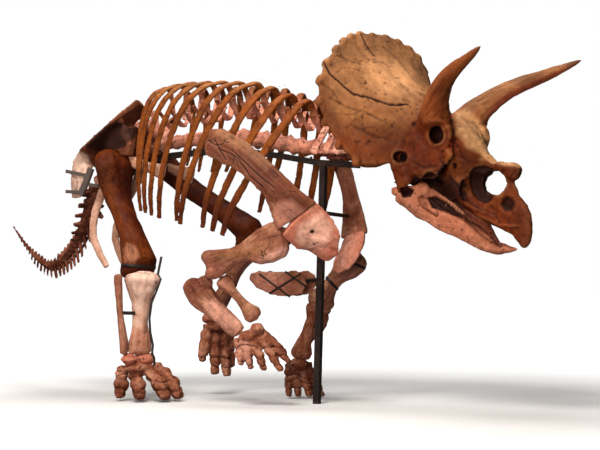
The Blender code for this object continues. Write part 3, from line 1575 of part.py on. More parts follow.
def main():
    """Build every sub-part."""
    clear_scene()
    skeleton = bpy.data.objects.new("skeleton", None)
    bpy.context.scene.collection.objects.link(skeleton)
    head = build_head(skeleton)
    body = [build_ribcage(RIGHT), build_ribcage(LEFT)]
    cages = list(body)
    neck = build_neck()
    trim(neck, [head["skull"]] + cages)
    sacrum = build_sacrum()
    trim(sacrum, cages)
    body += [neck, sacrum]
    body += build_legs_and_girdles(sacrum, cages)
    tail = build_tail()
    hips = [item for item in body if item.name[:4] in ("iliu", "isch", "sacr")]
    trim(tail[0], hips)
    trim(tail[1], [tail[0]])
    trim(tail[2], [tail[1]])
    body += tail
    bones = {item.name: item for item in body}
    bones.update(head)
    for item in body + build_stand(bones):
        item.parent = skeleton
    skeleton.location = -STAND_FOOT


main()
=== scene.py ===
"""Looks of a mounted horned dinosaur skeleton: fossil bone, steel stand and studio.

Each bone keeps the place and reach of its solid. Its surface is meshed anew, smoothed and
carved with the cracks, sutures, pits and grain of weathered bone, then coloured by a
procedural finish with painted shade in its hollows and painted light and shade on its
undersides and some patches. Metres, +Z up, the head towards +X, the animal's left side +Y.
"""

import json
import logging
import math
from collections.abc import Iterable, Sequence
from dataclasses import dataclass, field
from enum import Enum

import bmesh
import bpy
import numpy as np
from mathutils import Matrix, Vector
from mathutils.bvhtree import BVHTree

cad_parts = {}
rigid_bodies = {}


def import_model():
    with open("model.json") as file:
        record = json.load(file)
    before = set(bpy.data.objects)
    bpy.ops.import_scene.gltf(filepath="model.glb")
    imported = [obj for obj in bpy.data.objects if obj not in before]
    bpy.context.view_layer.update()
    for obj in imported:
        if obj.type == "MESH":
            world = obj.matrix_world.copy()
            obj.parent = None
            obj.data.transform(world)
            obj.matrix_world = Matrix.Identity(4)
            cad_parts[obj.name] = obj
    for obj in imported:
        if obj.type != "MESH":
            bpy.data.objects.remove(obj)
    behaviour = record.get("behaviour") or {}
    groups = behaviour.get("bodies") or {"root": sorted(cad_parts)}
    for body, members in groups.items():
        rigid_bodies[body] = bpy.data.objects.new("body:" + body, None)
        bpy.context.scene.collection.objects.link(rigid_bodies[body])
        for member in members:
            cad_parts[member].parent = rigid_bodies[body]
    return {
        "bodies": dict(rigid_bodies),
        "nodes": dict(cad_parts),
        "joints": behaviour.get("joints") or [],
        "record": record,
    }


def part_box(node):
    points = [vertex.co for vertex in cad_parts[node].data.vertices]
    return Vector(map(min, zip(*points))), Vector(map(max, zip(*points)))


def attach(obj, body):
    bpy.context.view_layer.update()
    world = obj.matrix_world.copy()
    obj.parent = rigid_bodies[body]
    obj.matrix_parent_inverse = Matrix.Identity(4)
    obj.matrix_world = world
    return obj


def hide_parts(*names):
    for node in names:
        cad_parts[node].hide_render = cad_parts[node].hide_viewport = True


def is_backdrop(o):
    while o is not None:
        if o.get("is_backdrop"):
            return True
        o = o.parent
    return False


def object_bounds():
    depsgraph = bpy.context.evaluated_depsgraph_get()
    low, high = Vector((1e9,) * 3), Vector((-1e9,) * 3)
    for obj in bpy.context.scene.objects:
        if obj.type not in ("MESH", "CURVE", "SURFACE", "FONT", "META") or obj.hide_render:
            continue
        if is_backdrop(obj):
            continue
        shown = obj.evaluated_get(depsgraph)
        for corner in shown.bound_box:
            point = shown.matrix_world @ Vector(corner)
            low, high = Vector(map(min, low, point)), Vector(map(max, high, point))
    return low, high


LOG = logging.getLogger("skeleton")
BODY = "root"

# Gap between the two sides of the rib cage
GAP = 0.0003

# Place of the hip joints along X, from which the skeleton is laid out
HIPS_X = -1.722

# Head as it is carried: place of the occiput and its turns
OCCIPUT = Vector((2.366 + HIPS_X, 0.0, 1.99))
HEAD_YAW = math.radians(-14.0)
HEAD_PITCH = math.radians(26.0)
HEAD_ROLL = math.radians(2.0)

Colour = tuple[float, float, float]
Display = tuple[int, int, int]
Pixels = list[tuple[float, float]]
Span = tuple[float, float]
Weight = float | np.ndarray


def linear(red: int, green: int, blue: int) -> Colour:
    """Linear colour of a display colour.

    Args:
        red: Red from 0 to 255.
        green: Green from 0 to 255.
        blue: Blue from 0 to 255.

    Returns:
        The colour as Blender's shaders read it.
    """
    def curve(value: float) -> float:
        """Linear value of one display channel."""
        return value / 12.92 if value <= 0.04045 else ((value + 0.055) / 1.055) ** 2.4

    return curve(red / 255), curve(green / 255), curve(blue / 255)


class Side(Enum):
    """Side of the animal, as the sign of Y."""

    RIGHT = -1
    LEFT = 1

    @property
    def word(self) -> str:
        """Word that ends the names of this side's pieces."""
        return self.name.lower()


# Camera

@dataclass(frozen=True)
class View:
    """The camera's place and lens, also used to set marks where a viewer sees them."""

    azimuth: float = math.radians(28.0)
    distance: float = 12.0
    eye_height: float = 1.0
    target: Vector = field(default_factory=lambda: Vector((1.574 + HIPS_X, 0.0, 1.42)))
    frame: tuple[int, int] = (600, 450)
    lens: float = 90.0
    sensor: float = 36.0
    far_end: float = 200.0

    @property
    def eye(self) -> Vector:
        """Place of the camera.

        Returns:
            The place, in metres.
        """
        back = Vector((math.sin(self.azimuth), -math.cos(self.azimuth), 0.0))
        place = self.target + back * self.distance
        place.z = self.eye_height
        return place

    def axes(self) -> tuple[Vector, Vector, Vector]:
        """Right, up and forward directions of the camera.

        Returns:
            The three directions, of length 1.
        """
        forward = (self.target - self.eye).normalized()
        right = forward.cross(Vector((0, 0, 1))).normalized()
        return right, right.cross(forward), forward

    def project(self, points: np.ndarray) -> np.ndarray:
        """Pixels at which points show.

        Args:
            points: Points, one a row.

        Returns:
            Pixels from the frame's upper left corner, one a row.
        """
        right, up, forward = (np.array(axis) for axis in self.axes())
        away = points - np.array(self.eye)
        depth = away @ forward
        pixels_per_unit = self.lens / self.sensor * self.frame[0]
        across = self.frame[0] / 2 + pixels_per_unit * (away @ right) / depth
        down = self.frame[1] / 2 - pixels_per_unit * (away @ up) / depth
        return np.stack([across, down], axis=1)

    def ray(self, pixel: tuple[float, float]) -> np.ndarray:
        """Direction from the eye through a pixel.

        Args:
            pixel: Pixel from the frame's upper left corner.

        Returns:
            The direction, of length 1.
        """
        right, up, forward = (np.array(axis) for axis in self.axes())
        pixels_per_unit = self.lens / self.sensor * self.frame[0]
        return unit(forward + right * (pixel[0] - self.frame[0] / 2) / pixels_per_unit
                    + up * (self.frame[1] / 2 - pixel[1]) / pixels_per_unit)

    def camera(self) -> None:
        """Create the scene's camera."""
        data = bpy.data.cameras.new("camera")
        data.lens = self.lens
        data.sensor_width = self.sensor
        data.clip_end = self.far_end
        camera = bpy.data.objects.new("camera", data)
        bpy.context.scene.collection.objects.link(camera)
        right, up, forward = self.axes()
        turn = Matrix((right, up, -forward)).transposed().to_4x4()
        camera.matrix_world = Matrix.Translation(self.eye) @ turn
        bpy.context.scene.camera = camera


VIEW = View()


# Noise and distances

def lattice(cells: np.ndarray, seed: int) -> np.ndarray:
    """Random value from 0 to 1 for each whole-numbered cell.

    Args:
        cells: Whole numbers, three a row.
        seed: Number of the pattern.

    Returns:
        One value a row.
    """
    mixed = (cells[:, 0] * 374761393 + cells[:, 1] * 668265263
             + cells[:, 2] * 1440662683 + seed * 1274126177) & 0xFFFFFFFF
    mixed = ((mixed ^ (mixed >> 13)) * 1274126177) & 0xFFFFFFFF
    mixed = ((mixed ^ (mixed >> 15)) * 2246822519) & 0xFFFFFFFF
    return (mixed ^ (mixed >> 16)) / 0xFFFFFFFF


def noise(points: np.ndarray, size: float, octaves: int, seed: int) -> np.ndarray:
    """Smooth noise from about -1 to 1.

    Args:
        points: Points, one a row.
        size: Size of the widest swells, in metres.
        octaves: How many finer layers are added.
        seed: Number of the pattern.

    Returns:
        One value a point.
    """
    total = np.zeros(len(points))
    weight = 1.0
    reach = 0.0
    for octave in range(octaves):
        place = points / size * 2 ** octave + 17.3 * octave
        cell = np.floor(place).astype(np.int64)
        t = place - cell
        t = t * t * (3 - 2 * t)
        layer = np.zeros(len(points))
        for corner in range(8):
            step = np.array([corner & 1, corner >> 1 & 1, corner >> 2 & 1])
            near = np.where(step, t, 1 - t).prod(axis=1)
            layer += near * lattice(cell + step, seed + octave)
        total += weight * (2 * layer - 1)
        reach += weight
        weight *= 0.5
    return total / reach * 1.6


def line_distance(points: np.ndarray, line: np.ndarray) -> np.ndarray:
    """Distance of points from an open line of straight stretches.

    Args:
        points: Points in two or three dimensions, one a row.
        line: Points of the line, one a row.

    Returns:
        One distance a point.
    """
    best = np.full(len(points), np.inf)
    for start, end in zip(line[:-1], line[1:]):
        along = end - start
        t = np.clip((points - start) @ along / (along @ along), 0.0, 1.0)
        gap = np.linalg.norm(points - start - t[:, None] * along, axis=1)
        best = np.minimum(best, gap)
    return best


def ramp(values: np.ndarray, low: float, high: float) -> np.ndarray:
    """Smooth step from 0 at low to 1 at high."""
    t = np.clip((values - low) / (high - low), 0.0, 1.0)
    return t * t * (3 - 2 * t)


def depth_inside(points: np.ndarray, outline: np.ndarray) -> np.ndarray:
    """How far points lie inside a closed outline, less than 0 outside it.

    Args:
        points: Points in two dimensions, one a row.
        outline: Corners of the outline, one a row.

    Returns:
        One distance a point.
    """
    inside = np.zeros(len(points), bool)
    ends = np.roll(outline, -1, axis=0)
    for start, end in zip(outline, ends):
        crosses = (start[1] > points[:, 1]) != (end[1] > points[:, 1])
        rise = end[1] - start[1] or 1e-9
        meets = start[0] + (points[:, 1] - start[1]) * (end[0] - start[0]) / rise
        inside ^= crosses & (points[:, 0] < meets)
    gap = line_distance(points, np.vstack([outline, outline[:1]]))
    return np.where(inside, gap, -gap)


def ellipse(across: float, down: float, half_across: float, half_down: float,
            corners: int = 20) -> Pixels:
    """Corners of an ellipse in the view's pixels.

    Args:
        across: Place of its middle from the left.
        down: Place of its middle from the top.
        half_across: Half its width.
        half_down: Half its height.
        corners: How many corners it gets.

    Returns:
        The corners, in order.
    """
    turns = [2 * math.pi * index / corners for index in range(corners)]
    return [(across + half_across * math.cos(turn), down + half_down * math.sin(turn))
            for turn in turns]


def smooth_line(stations: list[tuple[float, ...]], count: int) -> np.ndarray:
    """Evenly numbered samples of the smooth curve through rows of any width.

    Args:
        stations: Rows of numbers that the curve goes through.
        count: How many samples there are.

    Returns:
        The samples, one a row.
    """
    rows = np.array(stations, float)
    last = len(rows) - 1
    places = np.linspace(0.0, last, count)
    spans = np.minimum(places.astype(int), last - 1)
    t = (places - spans)[:, None]
    a = rows[np.maximum(spans - 1, 0)]
    b = rows[spans]
    c = rows[spans + 1]
    d = rows[np.minimum(spans + 2, last)]
    return 0.5 * (2 * b + (c - a) * t + (2 * a - 5 * b + 4 * c - d) * t ** 2
                  + (3 * b - a - 3 * c + d) * t ** 3)


def unit(vector: np.ndarray) -> np.ndarray:
    """Vector, or rows of vectors, of length 1."""
    return vector / np.linalg.norm(vector, axis=-1, keepdims=True)


# Surfaces

def new_object(name: str, mesh: bpy.types.Mesh) -> bpy.types.Object:
    """Link a new object that shows a mesh.

    Args:
        name: Name of the object.
        mesh: Mesh that it shows.

    Returns:
        The new object.
    """
    item = bpy.data.objects.new(name, mesh)
    bpy.context.scene.collection.objects.link(item)
    return item


def apply_modifiers(item: bpy.types.Object) -> None:
    """Turn what an object's modifiers make into its own mesh, and drop them.

    Args:
        item: The object.
    """
    graph = bpy.context.evaluated_depsgraph_get()
    mesh = bpy.data.meshes.new_from_object(item.evaluated_get(graph))
    item.modifiers.clear()
    old = item.data
    item.data = mesh
    mesh.name = item.name
    bpy.data.meshes.remove(old)


@dataclass(frozen=True)
class Groove:
    """Groove along a line of the view, or a ridge where its depth is negative.

    The line and the half width are in pixels, the depth in metres. After the depth comes
    how dark the bottom is painted, as painted shade in the crease, and the wobble shakes
    the line sideways, in pixels.
    """

    line: Pixels
    width: float
    depth: float
    stain: float = 0.7
    wobble: float = 0.0
    both: bool = True


@dataclass(frozen=True)
class Hollow:
    """Sunk opening on both sides of the head, outlined as it is seen.

    The outline and the half width of its soft rim are in pixels, the depth in metres. Its
    walls are darkened with painted shade.
    """

    outline: Pixels
    depth: float
    stain: float = 1.0
    soft: float = 1.0


class Surface:
    """A bone's surface as arrays, carved before it goes back into its mesh."""

    # Steps out and in of one round of smoothing, which don't shrink the bone
    SMOOTH_STEPS = (0.60, -0.61)
    # Doubled points of the solids' loose triangles lie closer than this
    WELD = 1e-5
    # Rounds that even out the measure of hollows and edges
    HOLLOW_ROUNDS = 3
    # How dark the bottoms of cracks, pits and joints are painted: painted shade and stain
    # in these recesses
    CRACK_STAIN = 0.55
    PIT_STAIN = 0.5
    JOINT_STAIN = 0.14
    # How far joints wander up and down, and how wide that swell is
    JOINT_WANDER = (0.030, 0.09)
    # Cosines between which marks, openings and paint fade in at the seen outline
    MARK_RIM = (0.05, 0.3)
    OPENING_RIM = (0.0, 0.2)
    PAINT_RIM = (-0.2, 0.1)
    # Falls of the normal between which the painted underside light and shade fades in
    UNDERSIDE = (-0.35, 0.75)

    def __init__(self, name: str, nodes: list[str], frame: dict, coarse: float,
                 smoothing: int, refine: int, parts: Iterable[bpy.types.Object] = (),
                 copied: bool = True) -> None:
        """Mesh one or more solids anew.

        Args:
            name: Name of the new piece.
            nodes: Solids that it stands for.
            frame: The loaded frame.
            coarse: Edge of the first even mesh, in metres.
            smoothing: Rounds of smoothing of that mesh.
            refine: Times that it is then divided.
            parts: Further closed forms that are merged into it and then dropped.
            copied: Whether the solids' own shapes are part of it.
        """
        self.nodes = nodes
        shape = bmesh.new()
        for node in nodes if copied else []:
            shape.from_mesh(frame["nodes"][node].data)
        for part in parts:
            shape.from_mesh(part.data)
            bpy.data.objects.remove(part)
        bmesh.ops.remove_doubles(shape, verts=shape.verts[:], dist=self.WELD)
        mesh = bpy.data.meshes.new(name)
        shape.to_mesh(mesh)
        shape.free()
        self.item = new_object(name, mesh)
        remesh = self.item.modifiers.new("even", "REMESH")
        remesh.mode = "VOXEL"
        remesh.voxel_size = coarse
        apply_modifiers(self.item)
        self.read()
        self.relax(smoothing)
        self.write()
        if refine:
            divide = self.item.modifiers.new("divide", "SUBSURF")
            divide.levels = refine
            divide.render_levels = refine
            apply_modifiers(self.item)
        self.read()
        self.low = self.points.min(axis=0)
        self.high = self.points.max(axis=0)
        centre = self.points.mean(axis=0)
        spread = np.linalg.svd((self.points - centre)[::7], full_matrices=False)[2]
        self.axis = spread[0]
        reach = (self.points - centre) @ self.axis
        self.along = (reach - reach.min()) / (reach.max() - reach.min())
        self.stain = np.zeros(len(self.points))
        self.tint = np.zeros((len(self.points), 3))
        self.tinted = np.zeros(len(self.points))
        self.rest = self.points.copy()

    def read(self) -> None:
        """Take points, edges and normals from the mesh."""
        mesh = self.item.data
        count = len(mesh.vertices)
        self.points = np.empty(count * 3, np.float32)
        mesh.vertices.foreach_get("co", self.points)
        self.points = self.points.reshape(-1, 3).astype(float)
        edges = np.empty(len(mesh.edges) * 2, np.int32)
        mesh.edges.foreach_get("vertices", edges)
        self.edges = edges.reshape(-1, 2)
        self.degree = np.maximum(np.bincount(edges, minlength=count), 1)
        self.find_normals()

    def find_normals(self) -> None:
        """Work out the points' normals."""
        flat = np.empty(len(self.points) * 3, np.float32)
        self.item.data.vertex_normals.foreach_get("vector", flat)
        self.normals = flat.reshape(-1, 3).astype(float)

    def write(self) -> None:
        """Put the points back into the mesh."""
        mesh = self.item.data
        mesh.vertices.foreach_set("co", self.points.astype(np.float32).ravel())
        mesh.update()

    def spread(self, values: np.ndarray) -> np.ndarray:
        """Mean of each point's neighbours, for one value or one vector a point.

        Args:
            values: One value or one vector a point.

        Returns:
            The means, one row a point.
        """
        start, end = self.edges.T
        count = len(self.degree)
        flat = values.reshape(count, -1)
        mean = np.empty_like(flat)
        for column in range(flat.shape[1]):
            total = np.bincount(start, flat[end, column], count)
            total += np.bincount(end, flat[start, column], count)
            mean[:, column] = total / self.degree
        return mean.reshape(values.shape)

    def relax(self, rounds: int) -> None:
        """Round off facets without shrinking, by steps in and out.

        Args:
            rounds: How many rounds are done.
        """
        for _ in range(rounds):
            for factor in self.SMOOTH_STEPS:
                self.points += factor * (self.spread(self.points) - self.points)

    def lift(self, heights: np.ndarray) -> None:
        """Move each point along its normal by its height."""
        self.points = self.points + self.normals * heights[:, None]

    def roughen(self, size: float, height: float, octaves: int = 3, seed: int = 1,
                ends: float = 0.0, where: Weight = 1.0) -> None:
        """Add swells and lumps.

        Args:
            size: Size of the widest swells, in metres.
            height: Height of the swells.
            octaves: How many finer layers are added.
            seed: Number of the pattern.
            ends: Further height at the two ends of the bone.
            where: Share of the height at each point.
        """
        weight = height + ends * ramp(np.abs(self.along * 2 - 1), 0.72, 0.95)
        self.lift(where * weight * noise(self.rest, size, octaves, seed))

    def streak(self, length: float, width: float, height: float, seed: int = 2,
               axis: Vector | None = None, where: Weight = 1.0) -> None:
        """Add long low ridges that run along the bone, or along an axis.

        Args:
            length: Length of the ridges.
            width: Distance between the ridges.
            height: Height of the ridges.
            seed: Number of the pattern.
            axis: Direction of the ridges, or the bone's own.
            where: Share of the height at each point.
        """
        along = np.array(axis.normalized()) if axis else self.axis
        reach = self.rest @ along
        across = self.rest - reach[:, None] * along
        place = across / width + (reach / length)[:, None] * along
        ends = 1.0 if axis else ramp(1 - np.abs(self.along * 2 - 1), 0.04, 0.3)
        self.lift(where * height * noise(place, 1.0, 2, seed) * ends)

    def crack(self, size: float, width: float, depth: float, seed: int = 3,
              where: Weight = 1.0) -> None:
        """Cut winding cracks where a noise crosses zero.

        Args:
            size: Size of the noise's swells, between which cracks run.
            width: Half width of a crack.
            depth: Depth of a crack.
            seed: Number of the pattern.
            where: Share of the depth at each point.
        """
        swells = noise(self.rest, size, 2, seed)
        gate = ramp(noise(self.rest, size * 2.3, 1, seed + 40), 0.0, 0.4)
        cut = np.exp(-(swells * size / width) ** 2) * gate * where
        self.lift(-depth * cut)
        # painted shade and stain at the crack's bottom
        self.stain = np.maximum(self.stain, self.CRACK_STAIN * cut)

    def pit(self, size: float, depth: float, share: float, seed: int = 4,
            where: Weight = 1.0) -> None:
        """Press small round pits into a share of the surface.

        Args:
            size: Size of the pits.
            depth: Depth of the pits.
            share: How much of the surface is pitted.
            seed: Number of the pattern.
            where: Share of the depth at each point.
        """
        hole = ramp(noise(self.rest, size, 1, seed), 1.0 - share, 1.35 - share) * where
        self.lift(-depth * hole)
        # painted shade and stain in the pits
        self.stain = np.maximum(self.stain, self.PIT_STAIN * hole)

    def seen(self, mirrored: bool) -> tuple[np.ndarray, np.ndarray, np.ndarray]:
        """Where the camera would see the points, and how squarely.

        Args:
            mirrored: Whether the other side of the head is looked at, turned over.

        Returns:
            Pixels, the cosine between each normal and the way to the camera, and that
            way itself.
        """
        points = self.rest
        normals = self.normals
        flip = np.eye(3)
        if mirrored:
            turn = np.array(head_matrix().to_3x3())
            middle = np.array(OCCIPUT)
            flip = turn @ np.diag([1.0, -1.0, 1.0]) @ turn.T
            points = (points - middle) @ flip.T + middle
            normals = normals @ flip.T
        towards = unit(np.array(VIEW.eye) - points)
        return VIEW.project(points), (normals * towards).sum(axis=1), towards @ flip

    def mark(self, groove: Groove) -> None:
        """Cut a groove, or raise a ridge.

        Args:
            groove: The groove or ridge.
        """
        path = np.array(groove.line, float)
        for mirrored in (False, True)[:2 if groove.both else 1]:
            pixels, facing, _ = self.seen(mirrored)
            if groove.wobble:
                shake = noise(self.rest, 0.03, 2, 91)
                pixels = pixels + groove.wobble * shake[:, None]
            cut = np.exp(-(line_distance(pixels, path) / groove.width) ** 2)
            cut *= ramp(facing, *self.MARK_RIM)
            self.lift(-groove.depth * cut)
            # the groove's bottom gets painted shade
            self.stain = np.maximum(self.stain, groove.stain * cut)

    def sink(self, hollow: Hollow) -> None:
        """Sink an opening away from the viewer, its walls darkened with painted shade.

        Args:
            hollow: The opening.
        """
        corners = np.array(hollow.outline, float)
        for mirrored in (False, True):
            pixels, facing, towards = self.seen(mirrored)
            cut = ramp(depth_inside(pixels, corners), -hollow.soft, hollow.soft)
            cut = cut * ramp(facing, *self.OPENING_RIM)
            self.points = self.points - towards * (hollow.depth * cut)[:, None]
            # painted shade on the opening's walls
            self.stain = np.maximum(self.stain, hollow.stain * cut)

    def dent(self, centre: tuple[float, float], radius: float, depth: float,
             stain: float) -> None:
        """Press a round hollow at a seen point, darkened with painted shade.

        Args:
            centre: Pixel of its middle.
            radius: Radius in pixels.
            depth: Depth in metres.
            stain: How dark it is.
        """
        pixels, facing, _ = self.seen(False)
        gap = np.linalg.norm(pixels - np.array(centre), axis=1)
        cut = np.exp(-(gap / radius) ** 2) * ramp(facing, *self.MARK_RIM)
        self.lift(-depth * cut)
        self.stain = np.maximum(self.stain, stain * cut)

    def joints(self, bottom: float, heights: tuple[float, ...], half: float,
               depth: float) -> None:
        """Cut rings round upright toes or fingers at some heights over their tips.

        Args:
            bottom: Height of the tips.
            heights: Heights of the rings over the tips.
            half: Half width of a ring.
            depth: Depth of a ring.
        """
        wander, size = self.JOINT_WANDER
        level = self.rest[:, 2] + wander * noise(self.rest, size, 1, 95)
        for height in heights:
            cut = np.exp(-((level - (bottom + height)) / half) ** 2)
            self.lift(-depth * cut)
            self.stain = np.maximum(self.stain, self.JOINT_STAIN * cut)

    def paint(self, colour: Colour, weight: np.ndarray) -> None:
        """Lay a colour over what is painted so far, by each point's weight.

        Args:
            colour: The colour.
            weight: One weight a point.
        """
        share = np.clip(weight, 0.0, 1.0)
        covered = self.tinted[:, None] > 0
        mixed = self.tint + (np.array(colour) - self.tint) * share[:, None]
        self.tint = np.where(covered, mixed, np.array(colour))
        self.tinted = self.tinted + (1 - self.tinted) * share

    def patch(self, outline: Pixels, soft: float = 3.0, both: bool = False) -> np.ndarray:
        """Weight of 1 inside a seen outline, fading out over its rim.

        Args:
            outline: Corners of the outline, in the view's pixels.
            soft: Half width of the rim, in pixels.
            both: Whether the head's other side gets it too.

        Returns:
            One weight a point.
        """
        total = np.zeros(len(self.points))
        for mirrored in (False, True)[:2 if both else 1]:
            pixels, facing, _ = self.seen(mirrored)
            inside = ramp(depth_inside(pixels, np.array(outline, float)), -soft, soft)
            total = np.maximum(total, inside * ramp(facing, *self.PAINT_RIM))
        return total

    def shares(self, frame: dict, blend: float = 0.02) -> dict[str, np.ndarray]:
        """How far each point belongs to each of the solids that it was made from.

        Args:
            frame: The loaded frame.
            blend: Distance over which one solid's share fades into the next.

        Returns:
            Weights by node, which add up to 1.
        """
        gaps = {}
        for node in self.nodes:
            mesh = frame["nodes"][node].data
            corners = [vertex.co for vertex in mesh.vertices]
            faces = [tuple(face.vertices) for face in mesh.polygons]
            tree = BVHTree.FromPolygons(corners, faces)
            gaps[node] = np.array([tree.find_nearest(Vector(point))[3]
                                   for point in self.rest])
        least = np.min(list(gaps.values()), axis=0)
        weights = {node: np.exp(-(gap - least) / blend) for node, gap in gaps.items()}
        total = sum(weights.values())
        return {node: weight / total for node, weight in weights.items()}

    def finish(self, box: tuple[np.ndarray, np.ndarray]) -> bpy.types.Object:
        """Keep the bone in its box, work out the painted shade in its hollows, the painted
        light and shade of its undersides and its paler edges, and write its mesh.

        Args:
            box: Lowest and highest corner that the object may reach.

        Returns:
            The finished piece.
        """
        low = np.maximum(self.low, box[0])
        high = np.minimum(self.high, box[1])
        self.points = np.clip(self.points, low, high)
        self.write()
        self.find_normals()
        hollow = (self.normals * (self.spread(self.points) - self.points)).sum(axis=1)
        for _ in range(self.HOLLOW_ROUNDS):
            hollow = 0.5 * hollow + 0.5 * self.spread(hollow)
        scale = np.percentile(np.abs(hollow), 90) + 1e-9
        hollow = np.clip(hollow / scale / 2, -1.0, 1.0)
        mesh = self.item.data
        values = {
            # painted shade in concave places and marks, with the cracks' stains
            "hollow": np.clip(np.maximum(hollow, 0) * 0.8 + self.stain, 0, 1),
            "edge": np.clip(-hollow, 0, 1),
            # painted light and shade on downward faces
            "under": ramp(-self.normals[:, 2], *self.UNDERSIDE),
            "tinted": self.tinted,
        }
        for name, data in values.items():
            layer = mesh.attributes.new(name, "FLOAT", "POINT")
            layer.data.foreach_set("value", data.astype(np.float32))
        colours = np.ones((len(self.points), 4), np.float32)
        colours[:, :3] = self.tint
        layer = mesh.attributes.new("tint", "FLOAT_COLOR", "POINT")
        layer.data.foreach_set("color", colours.ravel())
        mesh.shade_smooth()
        return self.item


def head_matrix() -> Matrix:
    """Place and turn of the head's own frame.

    Returns:
        Matrix from the head's own frame to the scene's.
    """
    turn = (Matrix.Rotation(HEAD_YAW, 4, "Z") @ Matrix.Rotation(HEAD_PITCH, 4, "Y")
            @ Matrix.Rotation(HEAD_ROLL, 4, "X"))
    return Matrix.Translation(OCCIPUT) @ turn


# Finishes

class Bench:
    """Short ways to lay out the nodes of one material."""

    # Share by which a noise shakes the cracks' cells out of line
    CRACK_SHAKE = 0.12
    # Noise values between which cracks fade in
    CRACK_GATE = (0.48, 0.60)

    def __init__(self, name: str) -> None:
        """Start a material with its shader and Object coordinates.

        Args:
            name: Name of the material.
        """
        self.material = bpy.data.materials.new(name)
        self.material.use_nodes = True
        self.tree = self.material.node_tree
        self.shader = self.tree.nodes["Principled BSDF"]
        self.place = self.tree.nodes.new("ShaderNodeTexCoord").outputs["Object"]

    def node(self, kind: str, **settings: object) -> bpy.types.Node:
        """Add a node with its settings.

        Args:
            kind: Kind of node.
            **settings: The node's own settings.

        Returns:
            The new node.
        """
        made = self.tree.nodes.new(kind)
        for key, value in settings.items():
            setattr(made, key, value)
        return made

    def feed(self, socket: bpy.types.NodeSocket, value: object) -> None:
        """Link a socket to another, or set its value.

        Args:
            socket: The input.
            value: An output, a colour or a number.
        """
        if isinstance(value, bpy.types.NodeSocket):
            self.tree.links.new(value, socket)
        elif isinstance(value, tuple) and len(value) == 3 and socket.type == "RGBA":
            socket.default_value = (*value, 1.0)
        else:
            socket.default_value = value

    def noise(self, scale: float, detail: float = 4.0, roughness: float = 0.55,
              distortion: float = 0.0, place: object = None) -> bpy.types.NodeSocket:
        """Noise value at a scale.

        Args:
            scale: Swells a metre.
            detail: How many finer layers.
            roughness: Weight of the finer layers.
            distortion: How far the swells are twisted.
            place: Coordinates, or the object's own.

        Returns:
            The value, from 0 to 1.
        """
        made = self.node("ShaderNodeTexNoise")
        self.feed(made.inputs["Vector"], place or self.place)
        for label, value in (("Scale", scale), ("Detail", detail),
                             ("Roughness", roughness), ("Distortion", distortion)):
            made.inputs[label].default_value = value
        return made.outputs["Fac"]

    def stretched(self, axis: Vector, along: float) -> bpy.types.NodeSocket:
        """Coordinates turned so that X runs along an axis, and squeezed along it.

        Args:
            axis: Direction that becomes X.
            along: Scale along that direction.

        Returns:
            The coordinates.
        """
        turn = axis.to_track_quat("X", "Z").inverted().to_euler()
        turned = self.node("ShaderNodeMapping")
        self.feed(turned.inputs["Vector"], self.place)
        turned.inputs["Rotation"].default_value = turn
        squeezed = self.node("ShaderNodeMapping")
        self.feed(squeezed.inputs["Vector"], turned.outputs["Vector"])
        squeezed.inputs["Scale"].default_value = (along, 1.0, 1.0)
        return squeezed.outputs["Vector"]

    def span(self, value: object, low: float, high: float, to_low: float = 0.0,
             to_high: float = 1.0) -> bpy.types.NodeSocket:
        """Value mapped from one range to another, held at its ends.

        Args:
            value: The value.
            low: Value that gives to_low.
            high: Value that gives to_high.
            to_low: Result at low.
            to_high: Result at high.

        Returns:
            The mapped value.
        """
        made = self.node("ShaderNodeMapRange")
        self.feed(made.inputs["Value"], value)
        for label, end in (("From Min", low), ("From Max", high), ("To Min", to_low),
                           ("To Max", to_high)):
            made.inputs[label].default_value = end
        return made.outputs["Result"]

    def times(self, first: object, second: object) -> bpy.types.NodeSocket:
        """Product of two values.

        Args:
            first: One value.
            second: The other value.

        Returns:
            The product.
        """
        made = self.node("ShaderNodeMath", operation="MULTIPLY")
        self.feed(made.inputs[0], first)
        self.feed(made.inputs[1], second)
        return made.outputs[0]

    def mix(self, share: object, first: object, second: object
            ) -> bpy.types.NodeSocket:
        """Colour between two colours.

        Args:
            share: Share of the second colour.
            first: One colour.
            second: The other colour.

        Returns:
            The mixed colour.
        """
        made = self.node("ShaderNodeMix", data_type="RGBA", blend_type="MIX")
        self.feed(made.inputs["Factor"], share)
        self.feed(made.inputs[6], first)
        self.feed(made.inputs[7], second)
        return made.outputs[2]

    def attribute(self, name: str) -> bpy.types.NodeSocket:
        """Value of a piece's own attribute."""
        made = self.node("ShaderNodeAttribute", attribute_name=name)
        return made.outputs["Fac"]

    def cracks(self, scale: float, width: float) -> bpy.types.NodeSocket:
        """Thin winding lines: 1 on a line and 0 off it.

        Args:
            scale: Cells a metre, between which the lines run.
            width: Width of a line, as a share of a cell.

        Returns:
            The value of the lines.
        """
        shaken = self.node("ShaderNodeTexNoise")
        self.feed(shaken.inputs["Vector"], self.place)
        shaken.inputs["Scale"].default_value = scale * 1.7
        shaken.inputs["Detail"].default_value = 3.0
        moved = self.node("ShaderNodeMix", data_type="VECTOR")
        moved.inputs["Factor"].default_value = self.CRACK_SHAKE
        self.feed(moved.inputs[4], self.place)
        self.feed(moved.inputs[5], shaken.outputs["Color"])
        cells = self.node("ShaderNodeTexVoronoi", feature="DISTANCE_TO_EDGE")
        self.feed(cells.inputs["Vector"], moved.outputs[1])
        cells.inputs["Scale"].default_value = scale
        line = self.span(cells.outputs["Distance"], 0.0, width, 1.0, 0.0)
        gate = self.span(self.noise(scale * 0.6, 2.0), *self.CRACK_GATE)
        return self.times(line, gate)

